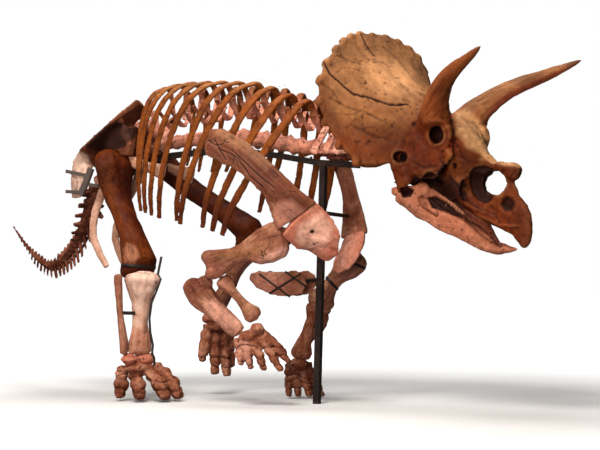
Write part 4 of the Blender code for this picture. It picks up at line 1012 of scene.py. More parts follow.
    def bump(self, height: object, strength: float, distance: float,
             under: object = None) -> bpy.types.NodeSocket:
        """Normal bumped by a height.

        Args:
            height: The height.
            strength: Strength of the bump.
            distance: Height in metres of a value of 1.
            under: Normal that is bumped further, if any.

        Returns:
            The normal.
        """
        made = self.node("ShaderNodeBump")
        made.inputs["Strength"].default_value = strength
        made.inputs["Distance"].default_value = distance
        self.feed(made.inputs["Height"], height)
        if under is not None:
            self.feed(made.inputs["Normal"], under)
        return made.outputs["Normal"]


@dataclass(frozen=True)
class BoneFinish:
    """Fossil bone: patches of three tones, grain, specks, cracks and paler edges, with
    painted shade in hollows and painted light and shade on undersides.
    """

    deep: Display
    mid: Display
    pale: Display
    under: Display
    under_share: float = 0.55
    patch: float = 4.0
    speck: float = 0.45
    grain: float = 0.35
    crack: float = 0.5
    crack_scale: float = 5.0
    roughness: Span = (0.50, 0.78)
    mottle: float = 0.35
    richness: float = 1.06
    edge_share: float = 0.28
    tint_range: Span = (0.56, 1.38)
    tone_stops: tuple[float, float, float] = (0.36, 0.50, 0.66)
    level_span: Span = (0.34, 0.66)
    mottle_span: Span = (0.35, 0.65)
    grain_span: Span = (0.52, 0.70)
    grain_scale: float = 34.0
    grain_squeeze: float = 0.09
    speck_scale: float = 120.0
    speck_span: Span = (0.62, 0.70)
    crack_width: float = 0.035
    hollow_span: Span = (0.0, 0.9)
    gloss_scale: float = 18.0
    gloss_span: Span = (0.3, 0.7)
    fine_scale: float = 210.0
    fine_bump: Span = (0.35, 0.002)
    crack_bump: Span = (0.5, 0.003)
    specular: float = 0.15
    shade: Display = (38, 16, 10)

    def material(self, name: str, axis: np.ndarray) -> bpy.types.Material:
        """Material for one bone.

        Args:
            name: Name of the material.
            axis: Direction in which the bone's grain runs.

        Returns:
            The new material.
        """
        bench = Bench(name)
        deep, mid, pale, under, shade = (linear(*tone) for tone in (
            self.deep, self.mid, self.pale, self.under, self.shade))
        patches = bench.noise(self.patch, 6.0, 0.62, 0.6)
        tones = bench.node("ShaderNodeValToRGB")
        bench.feed(tones.inputs["Fac"], patches)
        stops = tones.color_ramp.elements
        stops[0].position = self.tone_stops[0]
        stops[0].color = (*deep, 1.0)
        stops[1].position = self.tone_stops[2]
        stops[1].color = (*pale, 1.0)
        middle = stops.new(self.tone_stops[1])
        middle.color = (*mid, 1.0)
        colour = tones.outputs["Color"]
        # Painted light and shade on downward faces: pink reflected light on some bones,
        # darker undersides on others
        underside_shading = bench.times(bench.attribute("under"), self.under_share)
        colour = bench.mix(underside_shading, colour, under)
        tint = bench.node("ShaderNodeAttribute", attribute_name="tint").outputs["Color"]
        level = bench.span(patches, *self.level_span, *self.tint_range)
        lit = bench.node("ShaderNodeVectorMath", operation="SCALE")
        bench.feed(lit.inputs[0], tint)
        bench.feed(lit.inputs["Scale"], level)
        colour = bench.mix(bench.attribute("tinted"), colour, lit.outputs["Vector"])
        mottle = bench.span(bench.noise(self.patch * 7.0, 5.0, 0.65),
                            *self.mottle_span)
        colour = bench.mix(bench.times(mottle, self.mottle), colour, deep)
        lines = bench.noise(self.grain_scale, 3.0, 0.6, 0.2,
                            bench.stretched(Vector(axis), self.grain_squeeze))
        streaks = bench.times(bench.span(lines, *self.grain_span), self.grain)
        colour = bench.mix(streaks, colour, deep)
        edge = bench.times(bench.attribute("edge"), self.edge_share)
        colour = bench.mix(edge, colour, pale)
        dots = bench.span(bench.noise(self.speck_scale, 2.0, 0.5), *self.speck_span)
        colour = bench.mix(bench.times(dots, self.speck), colour, shade)
        veins = bench.cracks(self.crack_scale, self.crack_width)
        colour = bench.mix(bench.times(veins, self.crack), colour, shade)
        # Painted shade in hollows, openings and marks, with the cracks' stains
        hollow = bench.attribute("hollow")
        colour = bench.mix(bench.span(hollow, *self.hollow_span), colour, shade)
        rich = bench.node("ShaderNodeHueSaturation")
        rich.inputs["Saturation"].default_value = self.richness
        bench.feed(rich.inputs["Color"], colour)
        bench.feed(bench.shader.inputs["Base Color"], rich.outputs["Color"])
        gloss = bench.span(bench.noise(self.gloss_scale, 4.0), *self.gloss_span,
                           *self.roughness)
        bench.feed(bench.shader.inputs["Roughness"], gloss)
        bench.shader.inputs["Specular IOR Level"].default_value = self.specular
        fine = bench.noise(self.fine_scale, 4.0, 0.65)
        normal = bench.bump(fine, *self.fine_bump)
        normal = bench.bump(lines, 0.30 * self.grain + 0.08, 0.006, normal)
        sunk = bench.span(veins, 0.0, 1.0, 1.0, 0.0)
        normal = bench.bump(sunk, *self.crack_bump, normal)
        bench.feed(bench.shader.inputs["Normal"], normal)
        return bench.material


@dataclass(frozen=True)
class SteelFinish:
    """Dark painted steel, worn to brown in patches and scratches."""

    paint: Display = (46, 38, 36)
    worn: Display = (98, 72, 58)
    roughness: float = 0.42
    gloss_gain: float = 0.22
    metallic: float = 0.65
    wear_share: float = 0.55
    scratch_share: float = 0.35

    def material(self, name: str) -> bpy.types.Material:
        """Material for one bar of the stand.

        Args:
            name: Name of the material.

        Returns:
            The new material.
        """
        bench = Bench(name)
        paint, worn = linear(*self.paint), linear(*self.worn)
        wear = bench.span(bench.noise(9.0, 6.0, 0.7), 0.52, 0.68)
        colour = bench.mix(bench.times(wear, self.wear_share), paint, worn)
        scratch = bench.span(bench.noise(60.0, 3.0, 0.6), 0.60, 0.68)
        colour = bench.mix(bench.times(scratch, self.scratch_share), colour, worn)
        bench.feed(bench.shader.inputs["Base Color"], colour)
        bench.shader.inputs["Metallic"].default_value = self.metallic
        gloss = bench.span(bench.noise(24.0), 0.3, 0.7, self.roughness,
                           self.roughness + self.gloss_gain)
        bench.feed(bench.shader.inputs["Roughness"], gloss)
        normal = bench.bump(bench.noise(90.0, 4.0), 0.25, 0.002)
        bench.feed(bench.shader.inputs["Normal"], normal)
        return bench.material


SKULL_BONE = BoneFinish(
    (84, 42, 26), (130, 78, 50), (196, 150, 106), (120, 62, 42), under_share=0.3,
    patch=2.6, speck=0.3, grain=0.16, crack=0.18, crack_scale=5.0,
    roughness=(0.56, 0.82), mottle=0.26, richness=1.1, edge_share=0.14)
PINK_JAW = BoneFinish(
    (112, 58, 40), (158, 96, 74), (196, 140, 114), (188, 128, 108), under_share=0.6,
    patch=4.0, speck=0.4, grain=0.35, crack=0.4, crack_scale=7.0)
RIB_BROWN = BoneFinish(
    (68, 27, 15), (106, 54, 31), (144, 88, 55), (98, 44, 29), under_share=0.6, patch=3.0,
    speck=0.3, grain=0.6, crack=0.3, crack_scale=6.0, richness=1.1)
PINK_SPINE = BoneFinish(
    (132, 66, 50), (214, 150, 128), (240, 192, 170), (96, 42, 30), under_share=0.75,
    patch=7.0, speck=0.3, grain=0.25, crack=0.4, crack_scale=10.0)
DARK_THIGH = BoneFinish(
    (50, 18, 11), (79, 33, 19), (118, 65, 41), (60, 24, 16), under_share=0.5, patch=3.0,
    speck=0.3, grain=0.6, crack=0.3, crack_scale=6.0, richness=1.12)
CREAM_SHIN = BoneFinish(
    (190, 132, 108), (230, 184, 160), (246, 216, 196), (196, 134, 112), under_share=0.5,
    patch=3.6, speck=0.22, grain=0.4, crack=0.6, crack_scale=5.0, mottle=0.25)
WARM_LIMB = BoneFinish(
    (88, 42, 27), (140, 84, 59), (194, 142, 110), (196, 126, 104), under_share=0.8,
    patch=4.0, speck=0.35, grain=0.5, crack=0.4, crack_scale=6.0, richness=1.0)
ROSE_PLATE = BoneFinish(
    (164, 92, 74), (204, 134, 112), (230, 172, 150), (170, 96, 80), under_share=0.5,
    patch=4.0, speck=0.3, grain=0.25, crack=0.45, crack_scale=7.0)
PEACH_HIP = BoneFinish(
    (186, 132, 106), (222, 176, 150), (240, 202, 178), (150, 92, 72), under_share=0.6,
    patch=4.0, speck=0.3, grain=0.3, crack=0.5, crack_scale=6.0)
HIP_BLADE = BoneFinish(
    (70, 32, 20), (112, 62, 42), (160, 104, 78), (56, 24, 16), under_share=0.8,
    patch=3.4, speck=0.35, grain=0.4, crack=0.4, crack_scale=6.0)
DARK_TAIL = BoneFinish(
    (66, 30, 20), (112, 60, 42), (168, 110, 88), (72, 34, 24), under_share=0.6,
    patch=7.0, speck=0.4, grain=0.3, crack=0.3, crack_scale=12.0)
FOOT_BROWN = BoneFinish(
    (94, 46, 30), (148, 88, 64), (206, 150, 124), (104, 48, 34), under_share=0.5,
    patch=7.0, speck=0.25, grain=0.3, crack=0.15, crack_scale=10.0, richness=1.04)
BLACK_STEEL = SteelFinish()
GREY_STEEL = SteelFinish((96, 86, 80), (124, 104, 92), roughness=0.5)


# Node trees and forms

def points_mesh(name: str, places: list[tuple[float, ...]],
                edges: Sequence[tuple[int, int]] = (), **vectors: list
                ) -> bpy.types.Mesh:
    """Mesh of loose points or lines with attributes.

    Args:
        name: Name of the mesh.
        places: The points.
        edges: Pairs of points that are joined.
        vectors: Rows of numbers, or single numbers, a point, by attribute.

    Returns:
        The new mesh.
    """
    mesh = bpy.data.meshes.new(name)
    mesh.from_pydata([tuple(place) for place in places], edges, [])
    for label, rows in vectors.items():
        data = np.array(rows, np.float32)
        single = data.ndim == 1
        layer = mesh.attributes.new(label, "FLOAT" if single else "FLOAT_VECTOR", "POINT")
        layer.data.foreach_set("value" if single else "vector", data.ravel())
    return mesh


def lines_mesh(name: str, lines: list[np.ndarray], flatness: float,
               out: np.ndarray | None = None, closed: bool = False) -> bpy.types.Mesh:
    """Mesh of lines to sweep, with half a thickness and a broad direction a point.

    Args:
        name: Name of the mesh.
        lines: Rows of x, y, z and full width, one array a line.
        flatness: Width of a section over its thickness.
        out: Broad direction of the section, or along X if not given.
        closed: Whether the lines run back to their start.

    Returns:
        The new mesh.
    """
    places, thick, face, edges = [], [], [], []
    for line in lines:
        start = len(places)
        count = len(line)
        run = unit(np.gradient(line[:, :3], axis=0))
        wide = np.array((1.0, 0.0, 0.0)) if out is None else out
        wide = unit(wide - run * (run @ wide)[:, None])
        places += line[:, :3].tolist()
        thick += (line[:, 3] / flatness / 2).tolist()
        face += wide.tolist()
        edges += [(start + index, start + index + 1) for index in range(count - 1)]
        if closed:
            edges.append((start + count - 1, start))
    return points_mesh(name, places, edges, thick=thick, face=face)


class Tree:
    """Short ways to lay out and run one node tree that makes geometry."""

    def __init__(self, name: str, **sizes: float) -> None:
        """Start a tree with a named input for each size.

        Args:
            name: Name of the tree.
            **sizes: Value of each input.
        """
        self.group = bpy.data.node_groups.new(name, "GeometryNodeTree")
        face = self.group.interface
        face.new_socket("Geometry", in_out="INPUT", socket_type="NodeSocketGeometry")
        self.sizes = sizes
        self.sockets = {label: face.new_socket(label, in_out="INPUT",
                                               socket_type="NodeSocketFloat").identifier
                        for label in sizes}
        face.new_socket("Geometry", in_out="OUTPUT", socket_type="NodeSocketGeometry")
        self.start = self.group.nodes.new("NodeGroupInput")
        self.end = self.group.nodes.new("NodeGroupOutput")

    def node(self, kind: str, **inputs: object) -> bpy.types.Node:
        """Add a node with its settings, in small letters, and its inputs.

        Args:
            kind: Kind of node, after its first word.
            **inputs: Settings in small letters, and inputs by their names.

        Returns:
            The new node.
        """
        made = self.group.nodes.new("GeometryNode" + kind)
        for label, value in inputs.items():
            if label.islower():
                setattr(made, label, value)
                continue
            socket = made.inputs[label.replace("_", " ")]
            if isinstance(value, bpy.types.NodeSocket):
                self.group.links.new(value, socket)
            else:
                socket.default_value = value
        return made

    def named(self, name: str, kind: str) -> bpy.types.NodeSocket:
        """Value of an attribute."""
        made = self.node("InputNamedAttribute", data_type=kind, Name=name)
        return next(socket for socket in made.outputs if socket.enabled)

    def vector(self, first: object, second: object, third: object
               ) -> bpy.types.NodeSocket:
        """Vector of three values.

        Args:
            first: Value along X.
            second: Value along Y.
            third: Value along Z.

        Returns:
            The vector.
        """
        made = self.group.nodes.new("ShaderNodeCombineXYZ")
        for socket, value in zip(made.inputs, (first, second, third)):
            if isinstance(value, bpy.types.NodeSocket):
                self.group.links.new(value, socket)
            else:
                socket.default_value = value
        return made.outputs[0]

    def close(self, geometry: bpy.types.NodeSocket, material: bpy.types.Material | None
              ) -> None:
        """End the tree in plain geometry of one material.

        Args:
            geometry: What the tree has made.
            material: Its material, if it gets one.
        """
        real = self.node("RealizeInstances", Geometry=geometry)
        paint = self.node("SetMaterial", Geometry=real.outputs[0])
        if material:
            paint.inputs["Material"].default_value = material
        self.group.links.new(paint.outputs[0], self.end.inputs["Geometry"])

    def run(self, name: str, mesh: bpy.types.Mesh) -> bpy.types.Object:
        """Object that holds what the tree makes from a mesh, as a plain mesh.

        Args:
            name: Name of the object.
            mesh: Mesh that the tree starts from.

        Returns:
            The new object.
        """
        item = new_object(name, mesh)
        modifier = item.modifiers.new(self.group.name, "NODES")
        modifier.node_group = self.group
        for label, value in self.sizes.items():
            modifier[self.sockets[label]] = value
        apply_modifiers(item)
        return item


class SweepTree(Tree):
    """Sweeps a flattened oval or a flat band along lines.

    Each point's "thick" is half the thickness there, and its "face" the direction in
    which the section is broad.
    """

    def __init__(self, flatness: float, sides: int = 14, band: bool = False,
                 material: bpy.types.Material | None = None) -> None:
        """Build the tree.

        Args:
            flatness: Width of the section over its thickness.
            sides: Sides of an oval section.
            band: Whether the section is a flat rectangle.
            material: Material of the result, if it isn't meshed anew.
        """
        super().__init__("sweep", Flatness=flatness)
        line = self.node("MeshToCurve", Mesh=self.start.outputs["Geometry"])
        turned = self.node("SetCurveNormal", mode="FREE", Curve=line.outputs[0],
                           Normal=self.named("face", "FLOAT_VECTOR"))
        if band:
            section = self.node("CurvePrimitiveQuadrilateral", Width=2.0, Height=2.0)
        else:
            section = self.node("CurvePrimitiveCircle", Resolution=sides, Radius=1.0)
        broad = self.vector(self.start.outputs["Flatness"], 1.0, 1.0)
        flat = self.node("Transform", Geometry=section.outputs[0], Scale=broad)
        swept = self.node("CurveToMesh", Curve=turned.outputs[0], Fill_Caps=True,
                          Profile_Curve=flat.outputs[0], Scale=self.named("thick", "FLOAT"))
        self.close(swept.outputs[0], material)


class RowTree(Tree):
    """Sets a copy of one model on each point, at the point's own size."""

    def __init__(self, model: bpy.types.Object) -> None:
        """Build the tree.

        Args:
            model: The model.
        """
        super().__init__("row", Size=1.0)
        copied = self.node("ObjectInfo", Object=model)
        grown = self.node("Transform", Geometry=copied.outputs["Geometry"],
                          Scale=self.vector(*[self.start.outputs["Size"]] * 3))
        placed = self.node("InstanceOnPoints", Points=self.start.outputs["Geometry"],
                           Instance=grown.outputs[0],
                           Scale=self.named("size", "FLOAT_VECTOR"))
        self.close(placed.outputs[0], None)


class BoltTree(Tree):
    """Sets a hexagon bolt head, facing -Y, on each point."""

    def __init__(self, radius: float, height: float, finish: SteelFinish) -> None:
        """Build the tree.

        Args:
            radius: Radius of a head.
            height: Height of a head.
            finish: Finish of the heads.
        """
        super().__init__("bolt_rows", Radius=radius, Height=height)
        head = self.node("MeshCylinder", Vertices=6, Radius=self.start.outputs["Radius"],
                         Depth=self.start.outputs["Height"])
        placed = self.node("InstanceOnPoints", Points=self.start.outputs["Geometry"],
                           Instance=head.outputs[0],
                           Rotation=(math.radians(90.0), 0.0, 0.0))
        self.close(placed.outputs[0], finish.material("bolt_paint"))


@dataclass
class Vertebra:
    """One vertebra of the back: spool, arch, spine and side processes.

    It stands with its centre at the origin and its spine up to its height.
    """

    height: float = 0.45
    length: float = 0.098
    end_width: float = 0.150
    side_width: float = 0.122
    waist_width: float = 0.112
    plate_flatness: float = 2.1

    def spool(self) -> list[np.ndarray]:
        """Centre line of its body as rows of x, y, z and width.

        Returns:
            The one line.
        """
        half = self.length / 2
        side = half * 0.6
        return [np.array([(-half, 0, 0, self.end_width), (-side, 0, 0, self.side_width),
                          (0, 0, 0, self.waist_width), (side, 0, 0, self.side_width),
                          (half, 0, 0, self.end_width)], float)]

    def plates(self) -> list[np.ndarray]:
        """Centre lines of its flat parts: spine, arch and processes.

        Returns:
            The lines, as rows of x, y, z and width.
        """
        top = self.height
        parts = [[(0.010, 0, 0.04, 0.070), (0.004, 0, 0.16, 0.080),
                  (-0.010, 0, 0.24, 0.054), (-0.024, 0, top - 0.05, 0.058),
                  (-0.032, 0, top - 0.012, 0.076), (-0.034, 0, top, 0.060)]]
        for side in (1, -1):
            parts.append([(0.0, 0.012 * side, 0.15, 0.062),
                          (-0.004, 0.07 * side, 0.20, 0.048),
                          (-0.012, 0.13 * side, 0.255, 0.042),
                          (-0.018, 0.165 * side, 0.29, 0.050)])
        return [np.array(part, float) for part in parts]

    def build(self, half: Side | None) -> bpy.types.Object:
        """Model of one vertebra, or of its half on one side.

        Args:
            half: Side that is made, or none for all of it.

        Returns:
            The model.
        """
        round_lines = lines_mesh("spool", self.spool(), 1.0, np.array((0.0, 1.0, 0.0)))
        spool = SweepTree(1.0, 16).run("spool", round_lines)
        flat_lines = lines_mesh("plates", self.plates(), self.plate_flatness)
        plates = SweepTree(self.plate_flatness, 12).run("plates", flat_lines)
        shape = bmesh.new()
        for part in (spool, plates):
            shape.from_mesh(part.data)
            bpy.data.objects.remove(part)
        if half:
            cut = bmesh.ops.bisect_plane(
                shape, geom=shape.verts[:] + shape.edges[:] + shape.faces[:],
                plane_co=(0.0, 0.0, 0.0), plane_no=(0.0, half.value, 0.0),
                clear_inner=True)
            rim = [item for item in cut["geom_cut"] if isinstance(item, bmesh.types.BMEdge)]
            bmesh.ops.holes_fill(shape, edges=rim, sides=0)
        mesh = bpy.data.meshes.new("vertebra")
        shape.to_mesh(mesh)
        shape.free()
        return new_object("vertebra", mesh)


# Bones

# How a rib leaves its top: part of its drop, of its backward sweep and of its bulge
REAR_RIB = [(0.02, 0.18, 0.62), (0.07, 0.38, 0.80), (0.18, 0.60, 0.94),
            (0.36, 0.80, 1.00), (0.60, 0.93, 0.99), (0.82, 1.00, 0.92),
            (1.00, 1.00, 0.82)]
MIDDLE_RIB = [(0.02, 0.12, 0.62), (0.07, 0.26, 0.80), (0.18, 0.42, 0.94),
              (0.36, 0.60, 1.00), (0.60, 0.79, 0.99), (0.82, 0.92, 0.92),
              (1.00, 1.00, 0.82)]
FRONT_RIB = [(0.02, 0.03, 0.52), (0.07, 0.08, 0.62), (0.18, 0.20, 0.72),
             (0.36, 0.40, 0.84), (0.60, 0.64, 0.96), (0.82, 0.86, 1.00),
             (1.00, 1.00, 0.96)]


@dataclass(frozen=True)
class Patch:
    """Patch of another tone on a bone, outlined as it is seen. Some are painted highlights,
    reflected light and shade, and the last number adds painted shade to the hollows' tone.
    """

    colour: Display
    outline: Pixels
    soft: float = 3.0
    share: float = 1.0
    stain: float = 0.0


PATCHES = {
    "skull": [
        # painted shade round the eye socket
        Patch((84, 38, 24), ellipse(436.7, 135.0, 11.0, 13.0), 3.0, 0.7),
        # painted shade round the temple opening
        Patch((92, 42, 26), ellipse(400.0, 157.0, 10.0, 9.0), 2.5, 0.6),
        # painted shade along the frill's rear edge
        Patch((104, 54, 34), [(306, 70), (318, 62), (326, 84), (330, 110), (336, 134),
            (350, 152), (356, 166), (338, 168), (322, 148), (310, 120)], 8.0, 0.7),
        # painted shade on the frill's lower part
        Patch((104, 54, 34), [(326, 130), (352, 142), (384, 148), (400, 152), (396, 168),
            (350, 168), (334, 152)], 8.0, 0.65),
        # painted light on the middle of the frill
        Patch((206, 156, 116), [(366, 62), (392, 58), (412, 72), (420, 92), (404, 100),
            (380, 94), (366, 80)], 10.0, 0.6),
        # painted light on the frill below the suture
        Patch((176, 124, 84), [(330, 100), (352, 108), (380, 114), (404, 112), (402, 124),
            (372, 124), (340, 116)], 7.0, 0.55),
        # painted highlight on the nasal bridge
        Patch((232, 182, 136), [(454, 112), (468, 108), (480, 122), (494, 142),
            (504, 156), (486, 156), (466, 146), (458, 130)], 4.0, 0.65),
        # painted shade on the cheek round its openings
        Patch((70, 26, 15), [(402, 168), (424, 160), (446, 166), (452, 180), (440, 190),
            (420, 178), (404, 182)], 5.0, 0.6),
        # painted highlight on the upper beak
        Patch((160, 100, 70), [(495, 172), (505, 176), (504, 196), (496, 198)], 2.0, 0.7),
        Patch((190, 122, 96), [(414, 184), (424, 187), (440, 193), (448, 198), (430, 198),
            (416, 194)], 2.0, 0.7),
        Patch((150, 90, 58), [(446, 150), (458, 160), (468, 176), (470, 196), (462, 196),
            (454, 180), (446, 166)], 3.0, 0.5),
        Patch((76, 32, 20), [(472, 204), (490, 212), (512, 214), (520, 206), (522, 222),
            (500, 222), (478, 214)], 4.0, 0.55)],
    "lower_jaw": [
        # the jaw's own pink tone with painted reflected light from below
        Patch((228, 156, 128), [(408, 198), (426, 214), (452, 234), (482, 246),
            (500, 250), (482, 256), (440, 242), (404, 210)], 4.0, 0.55),
        Patch((104, 50, 34), [(468, 214), (492, 226), (508, 240), (514, 250), (500, 242),
            (480, 228)], 3.0, 0.8)],
    "femur_right": [
        Patch((158, 112, 90), [(122, 250), (127, 243), (135, 246), (140, 256), (134, 263),
            (125, 262)], 2.0, 0.8),
        Patch((58, 24, 16), [(118, 262), (140, 264), (162, 256), (164, 270),
            (118, 272)], 3.0, 0.8),
        Patch((112, 62, 38), [(98, 160), (112, 156), (116, 196), (124, 226), (116, 232),
            (106, 200)], 5.0, 0.6)],
    "tibia_right": [
        # painted highlight on the upper shin
        Patch((238, 204, 186), [(122, 270), (162, 270), (156, 292), (148, 312),
            (134, 312), (130, 290)], 5.0, 0.9),
        Patch((168, 104, 78), [(124, 330), (160, 326), (162, 356), (122, 356)], 7.0, 0.8),
        Patch((150, 92, 66), [(146, 292), (151, 294), (146, 316), (150, 334), (144, 330),
            (143, 310)], 2.5, 0.6)],
    "ilium_right": [
        # the rear plate's own pale tone with painted light from behind
        Patch((250, 214, 194), [(66, 162), (76, 152), (86, 156), (92, 172), (90, 204),
            (66, 204)], 4.0, 0.95),
        # painted shadow under the overhanging hip blade
        Patch((40, 18, 12), [(86, 147), (96, 134), (107, 124), (120, 122), (131, 127),
            (142, 118), (141, 130), (132, 140), (124, 147), (110, 151),
            (97, 151)], 2.0, 0.95, 0.8),
        Patch((176, 112, 90), [(118, 121), (122, 118), (128, 130), (132, 144), (127, 146),
            (122, 135)], 1.2, 0.9),
        Patch((170, 112, 84), [(80, 144), (106, 122), (128, 104), (142, 96), (144, 102),
            (124, 114), (100, 133), (84, 148)], 1.8, 0.8)],
    "ischium_right": [
        Patch((236, 190, 168), [(92, 200), (101, 200), (99, 226), (103, 250), (96, 250),
            (90, 226)], 3.0, 0.8)],
    "humerus_right": [
        # painted pink reflected light on the humerus' lower part
        Patch((212, 156, 136), [(246, 268), (262, 258), (282, 246), (290, 250),
            (282, 262), (266, 272), (250, 274)], 3.0, 0.85),
        Patch((180, 108, 88), [(198, 262), (210, 264), (218, 276), (208, 282),
            (198, 274)], 3.0, 0.7),
        Patch((150, 100, 62), [(214, 254), (246, 250), (268, 242), (262, 252), (236, 260),
            (218, 262)], 3.0, 0.7)],
    "ulna_right": [
        # painted highlight on the ulna
        Patch((226, 164, 140), [(204, 302), (214, 300), (234, 316), (250, 328),
            (240, 344), (226, 334), (206, 314)], 3.0, 0.9),
        # painted shade in the gap between ulna and radius
        Patch((96, 40, 28), [(212, 288), (220, 287), (228, 294), (229, 306), (221, 304),
            (213, 296)], 2.4, 0.9, 0.4),
        Patch((122, 58, 40), [(184, 280), (204, 276), (210, 288), (196, 298),
            (184, 290)], 3.0, 0.7)],
    "radius_right": [
        Patch((142, 92, 66), [(228, 284), (240, 300), (252, 308), (244, 322),
            (232, 300)], 3.0, 0.7),
        Patch((184, 126, 104), [(214, 282), (224, 280), (228, 290),
            (218, 292)], 2.0, 0.8)],
    "scapula_right": [
        Patch((104, 50, 27), [(190, 110), (350, 110), (350, 280), (190, 280)], 8.0, 0.92),
        Patch((118, 64, 42), [(206, 146), (222, 150), (248, 176), (270, 204), (262, 208),
            (240, 184), (214, 160)], 4.0, 0.7),
        Patch((200, 136, 114), [(272, 204), (292, 200), (306, 212), (296, 226),
            (282, 234), (272, 224)], 4.0, 0.8),
        Patch((172, 120, 84), [(216, 126), (246, 140), (272, 164), (266, 170), (240, 150),
            (214, 136)], 4.0, 0.6)],
    "coracoid_right": [
        # painted pink reflected light on the coracoid's face
        Patch((248, 198, 176), [(298, 226), (322, 212), (334, 228), (326, 244),
            (306, 250), (296, 240)], 4.0, 0.85),
        Patch((220, 150, 128), [(300, 250), (328, 246), (326, 256),
            (312, 264)], 4.0, 0.7)],
    "sternal_right": [
        Patch((198, 132, 112), [(248, 270), (272, 268), (282, 282), (270, 298),
            (250, 286)], 4.0, 0.7)],
    "fibula_right": [
        Patch((196, 140, 112), [(112, 316), (126, 316), (128, 352),
            (110, 352)], 4.0, 0.6)],
    "foot_right": [
        Patch((206, 146, 122), [(112, 370), (128, 368), (126, 380),
            (114, 382)], 2.0, 0.7),
        Patch((112, 56, 36), [(112, 386), (178, 386), (182, 404), (108, 404)], 5.0, 0.6)],
    "hand_right": [
        Patch((212, 152, 130), [(234, 340), (248, 340), (252, 368),
            (238, 368)], 2.5, 0.8)],
    "humerus_left": [
        Patch((210, 128, 108), [(334, 246), (350, 240), (352, 262),
            (338, 270)], 4.0, 0.8)],
}


class Work(Enum):
    """Ways to work a bone's surface, named as the methods of Surface that do them."""

    ROUGHEN = "roughen"
    STREAK = "streak"
    CRACK = "crack"
    PIT = "pit"


@dataclass(frozen=True)
class Recipe:
    """How a bone is meshed, worked and painted.

    The works are done in their order. Each has the numbers that its method takes: a
    size or two, a height or depth, layers or a share, and the pattern's number. Swells
    may end in a further height at the ends of the bone.
    """

    coarse: float
    finish: BoneFinish
    works: tuple[tuple[Work, tuple[float, ...]], ...]


TAIL_WORKS = ((Work.ROUGHEN, (0.03, 0.0035, 3, 57)), (Work.PIT, (0.016, 0.002, 0.2, 58)))
LOW_HIP = Recipe(0.010, PEACH_HIP, (
    (Work.STREAK, (0.3, 0.02, 0.0018, 63)), (Work.ROUGHEN, (0.05, 0.002, 3, 64))))
FOREARM = Recipe(0.010, WARM_LIMB, (
    (Work.ROUGHEN, (0.06, 0.0035, 3, 89, 0.002)), (Work.STREAK, (0.3, 0.018, 0.0018, 90))))
RECIPES = {
    "sacrum": Recipe(0.012, PINK_SPINE, (
        (Work.ROUGHEN, (0.05, 0.005, 3, 56)), (Work.PIT, (0.03, 0.003, 0.2, 59)))),
    "tail_base": Recipe(0.009, DARK_TAIL, TAIL_WORKS),
    "tail_middle": Recipe(0.007, DARK_TAIL, TAIL_WORKS),
    "tail_tip": Recipe(0.007, DARK_TAIL, TAIL_WORKS),
    "ilium": Recipe(0.013, HIP_BLADE, (
        (Work.ROUGHEN, (0.14, 0.006, 3, 61)), (Work.CRACK, (0.12, 0.004, 0.003, 62)))),
    "ischium": LOW_HIP,
    "pubis": LOW_HIP,
    "femur": Recipe(0.016, DARK_THIGH, (
        (Work.ROUGHEN, (0.12, 0.006, 3, 71, 0.004)),
        (Work.STREAK, (0.4, 0.030, 0.0028, 72)),
        (Work.CRACK, (0.10, 0.004, 0.003, 73)))),
    "tibia": Recipe(0.014, WARM_LIMB, (
        (Work.ROUGHEN, (0.10, 0.005, 3, 74, 0.004)),
        (Work.STREAK, (0.4, 0.026, 0.0028, 75)),
        (Work.CRACK, (0.09, 0.003, 0.002, 76)))),
    "fibula": Recipe(0.009, WARM_LIMB, (
        (Work.STREAK, (0.3, 0.014, 0.0014, 77)), (Work.ROUGHEN, (0.04, 0.0016, 3, 78)))),
    "ankle": Recipe(0.010, ROSE_PLATE, (
        (Work.ROUGHEN, (0.045, 0.005, 3, 79)), (Work.PIT, (0.020, 0.0016, 0.18, 80)))),
    "humerus": Recipe(0.012, WARM_LIMB, (
        (Work.ROUGHEN, (0.09, 0.005, 3, 86, 0.004)),
        (Work.STREAK, (0.3, 0.024, 0.0022, 87)),
        (Work.CRACK, (0.08, 0.003, 0.002, 88)))),
    "ulna": FOREARM,
    "radius": FOREARM,
    "sternal": Recipe(0.009, WARM_LIMB, ((Work.ROUGHEN, (0.06, 0.003, 3, 93)),)),
}


@dataclass
class BoneGroup:
    """Bones that are meshed and dressed in one way.

    Pieces take the solids' names with the ending "_bone".
    """

    frame: dict
    box: tuple[np.ndarray, np.ndarray]
    coarse: float = 0.014
    smoothing: int = 8
    refine: int = 1

    def surface(self, node: str, coarse: float = 0.0) -> Surface:
        """Even surface of one solid."""
        return Surface(node + "_bone", [node], self.frame, coarse or self.coarse,
                       self.smoothing, self.refine)

    def dress(self, surface: Surface, finish: BoneFinish) -> None:
        """Finish a surface, paint it and set it on the body in its solid's place.

        Args:
            surface: The bone's surface.
            finish: The bone's finish.
        """
        for patch in PATCHES.get(surface.nodes[0], []):
            weight = surface.patch(patch.outline, patch.soft) * patch.share
            surface.paint(linear(*patch.colour), weight)
            # a patch's darkening is painted shade in the hollows' tone
            surface.stain = np.maximum(surface.stain, patch.stain * weight)
        piece = surface.finish(self.box)
        piece.data.materials.clear()
        piece.data.materials.append(finish.material(piece.name + "_paint",
                                                    surface.axis))
        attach(piece, BODY)
        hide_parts(*surface.nodes)
        LOG.info("%s: %d faces", piece.name, len(piece.data.polygons))

    def make(self, node: str, finish: BoneFinish | None = None) -> Surface:
        """Mesh, work and dress a bone by its recipe.

        Args:
            node: Name of the bone's solid.
            finish: Finish that takes the place of the recipe's own.

        Returns:
            The bone's surface.
        """
        recipe = RECIPES[node.removesuffix("_right").removesuffix("_left")]
        surface = self.surface(node, recipe.coarse)
        for work, numbers in recipe.works:
            getattr(surface, work.value)(*numbers)
        self.dress(surface, finish or recipe.finish)
        return surface


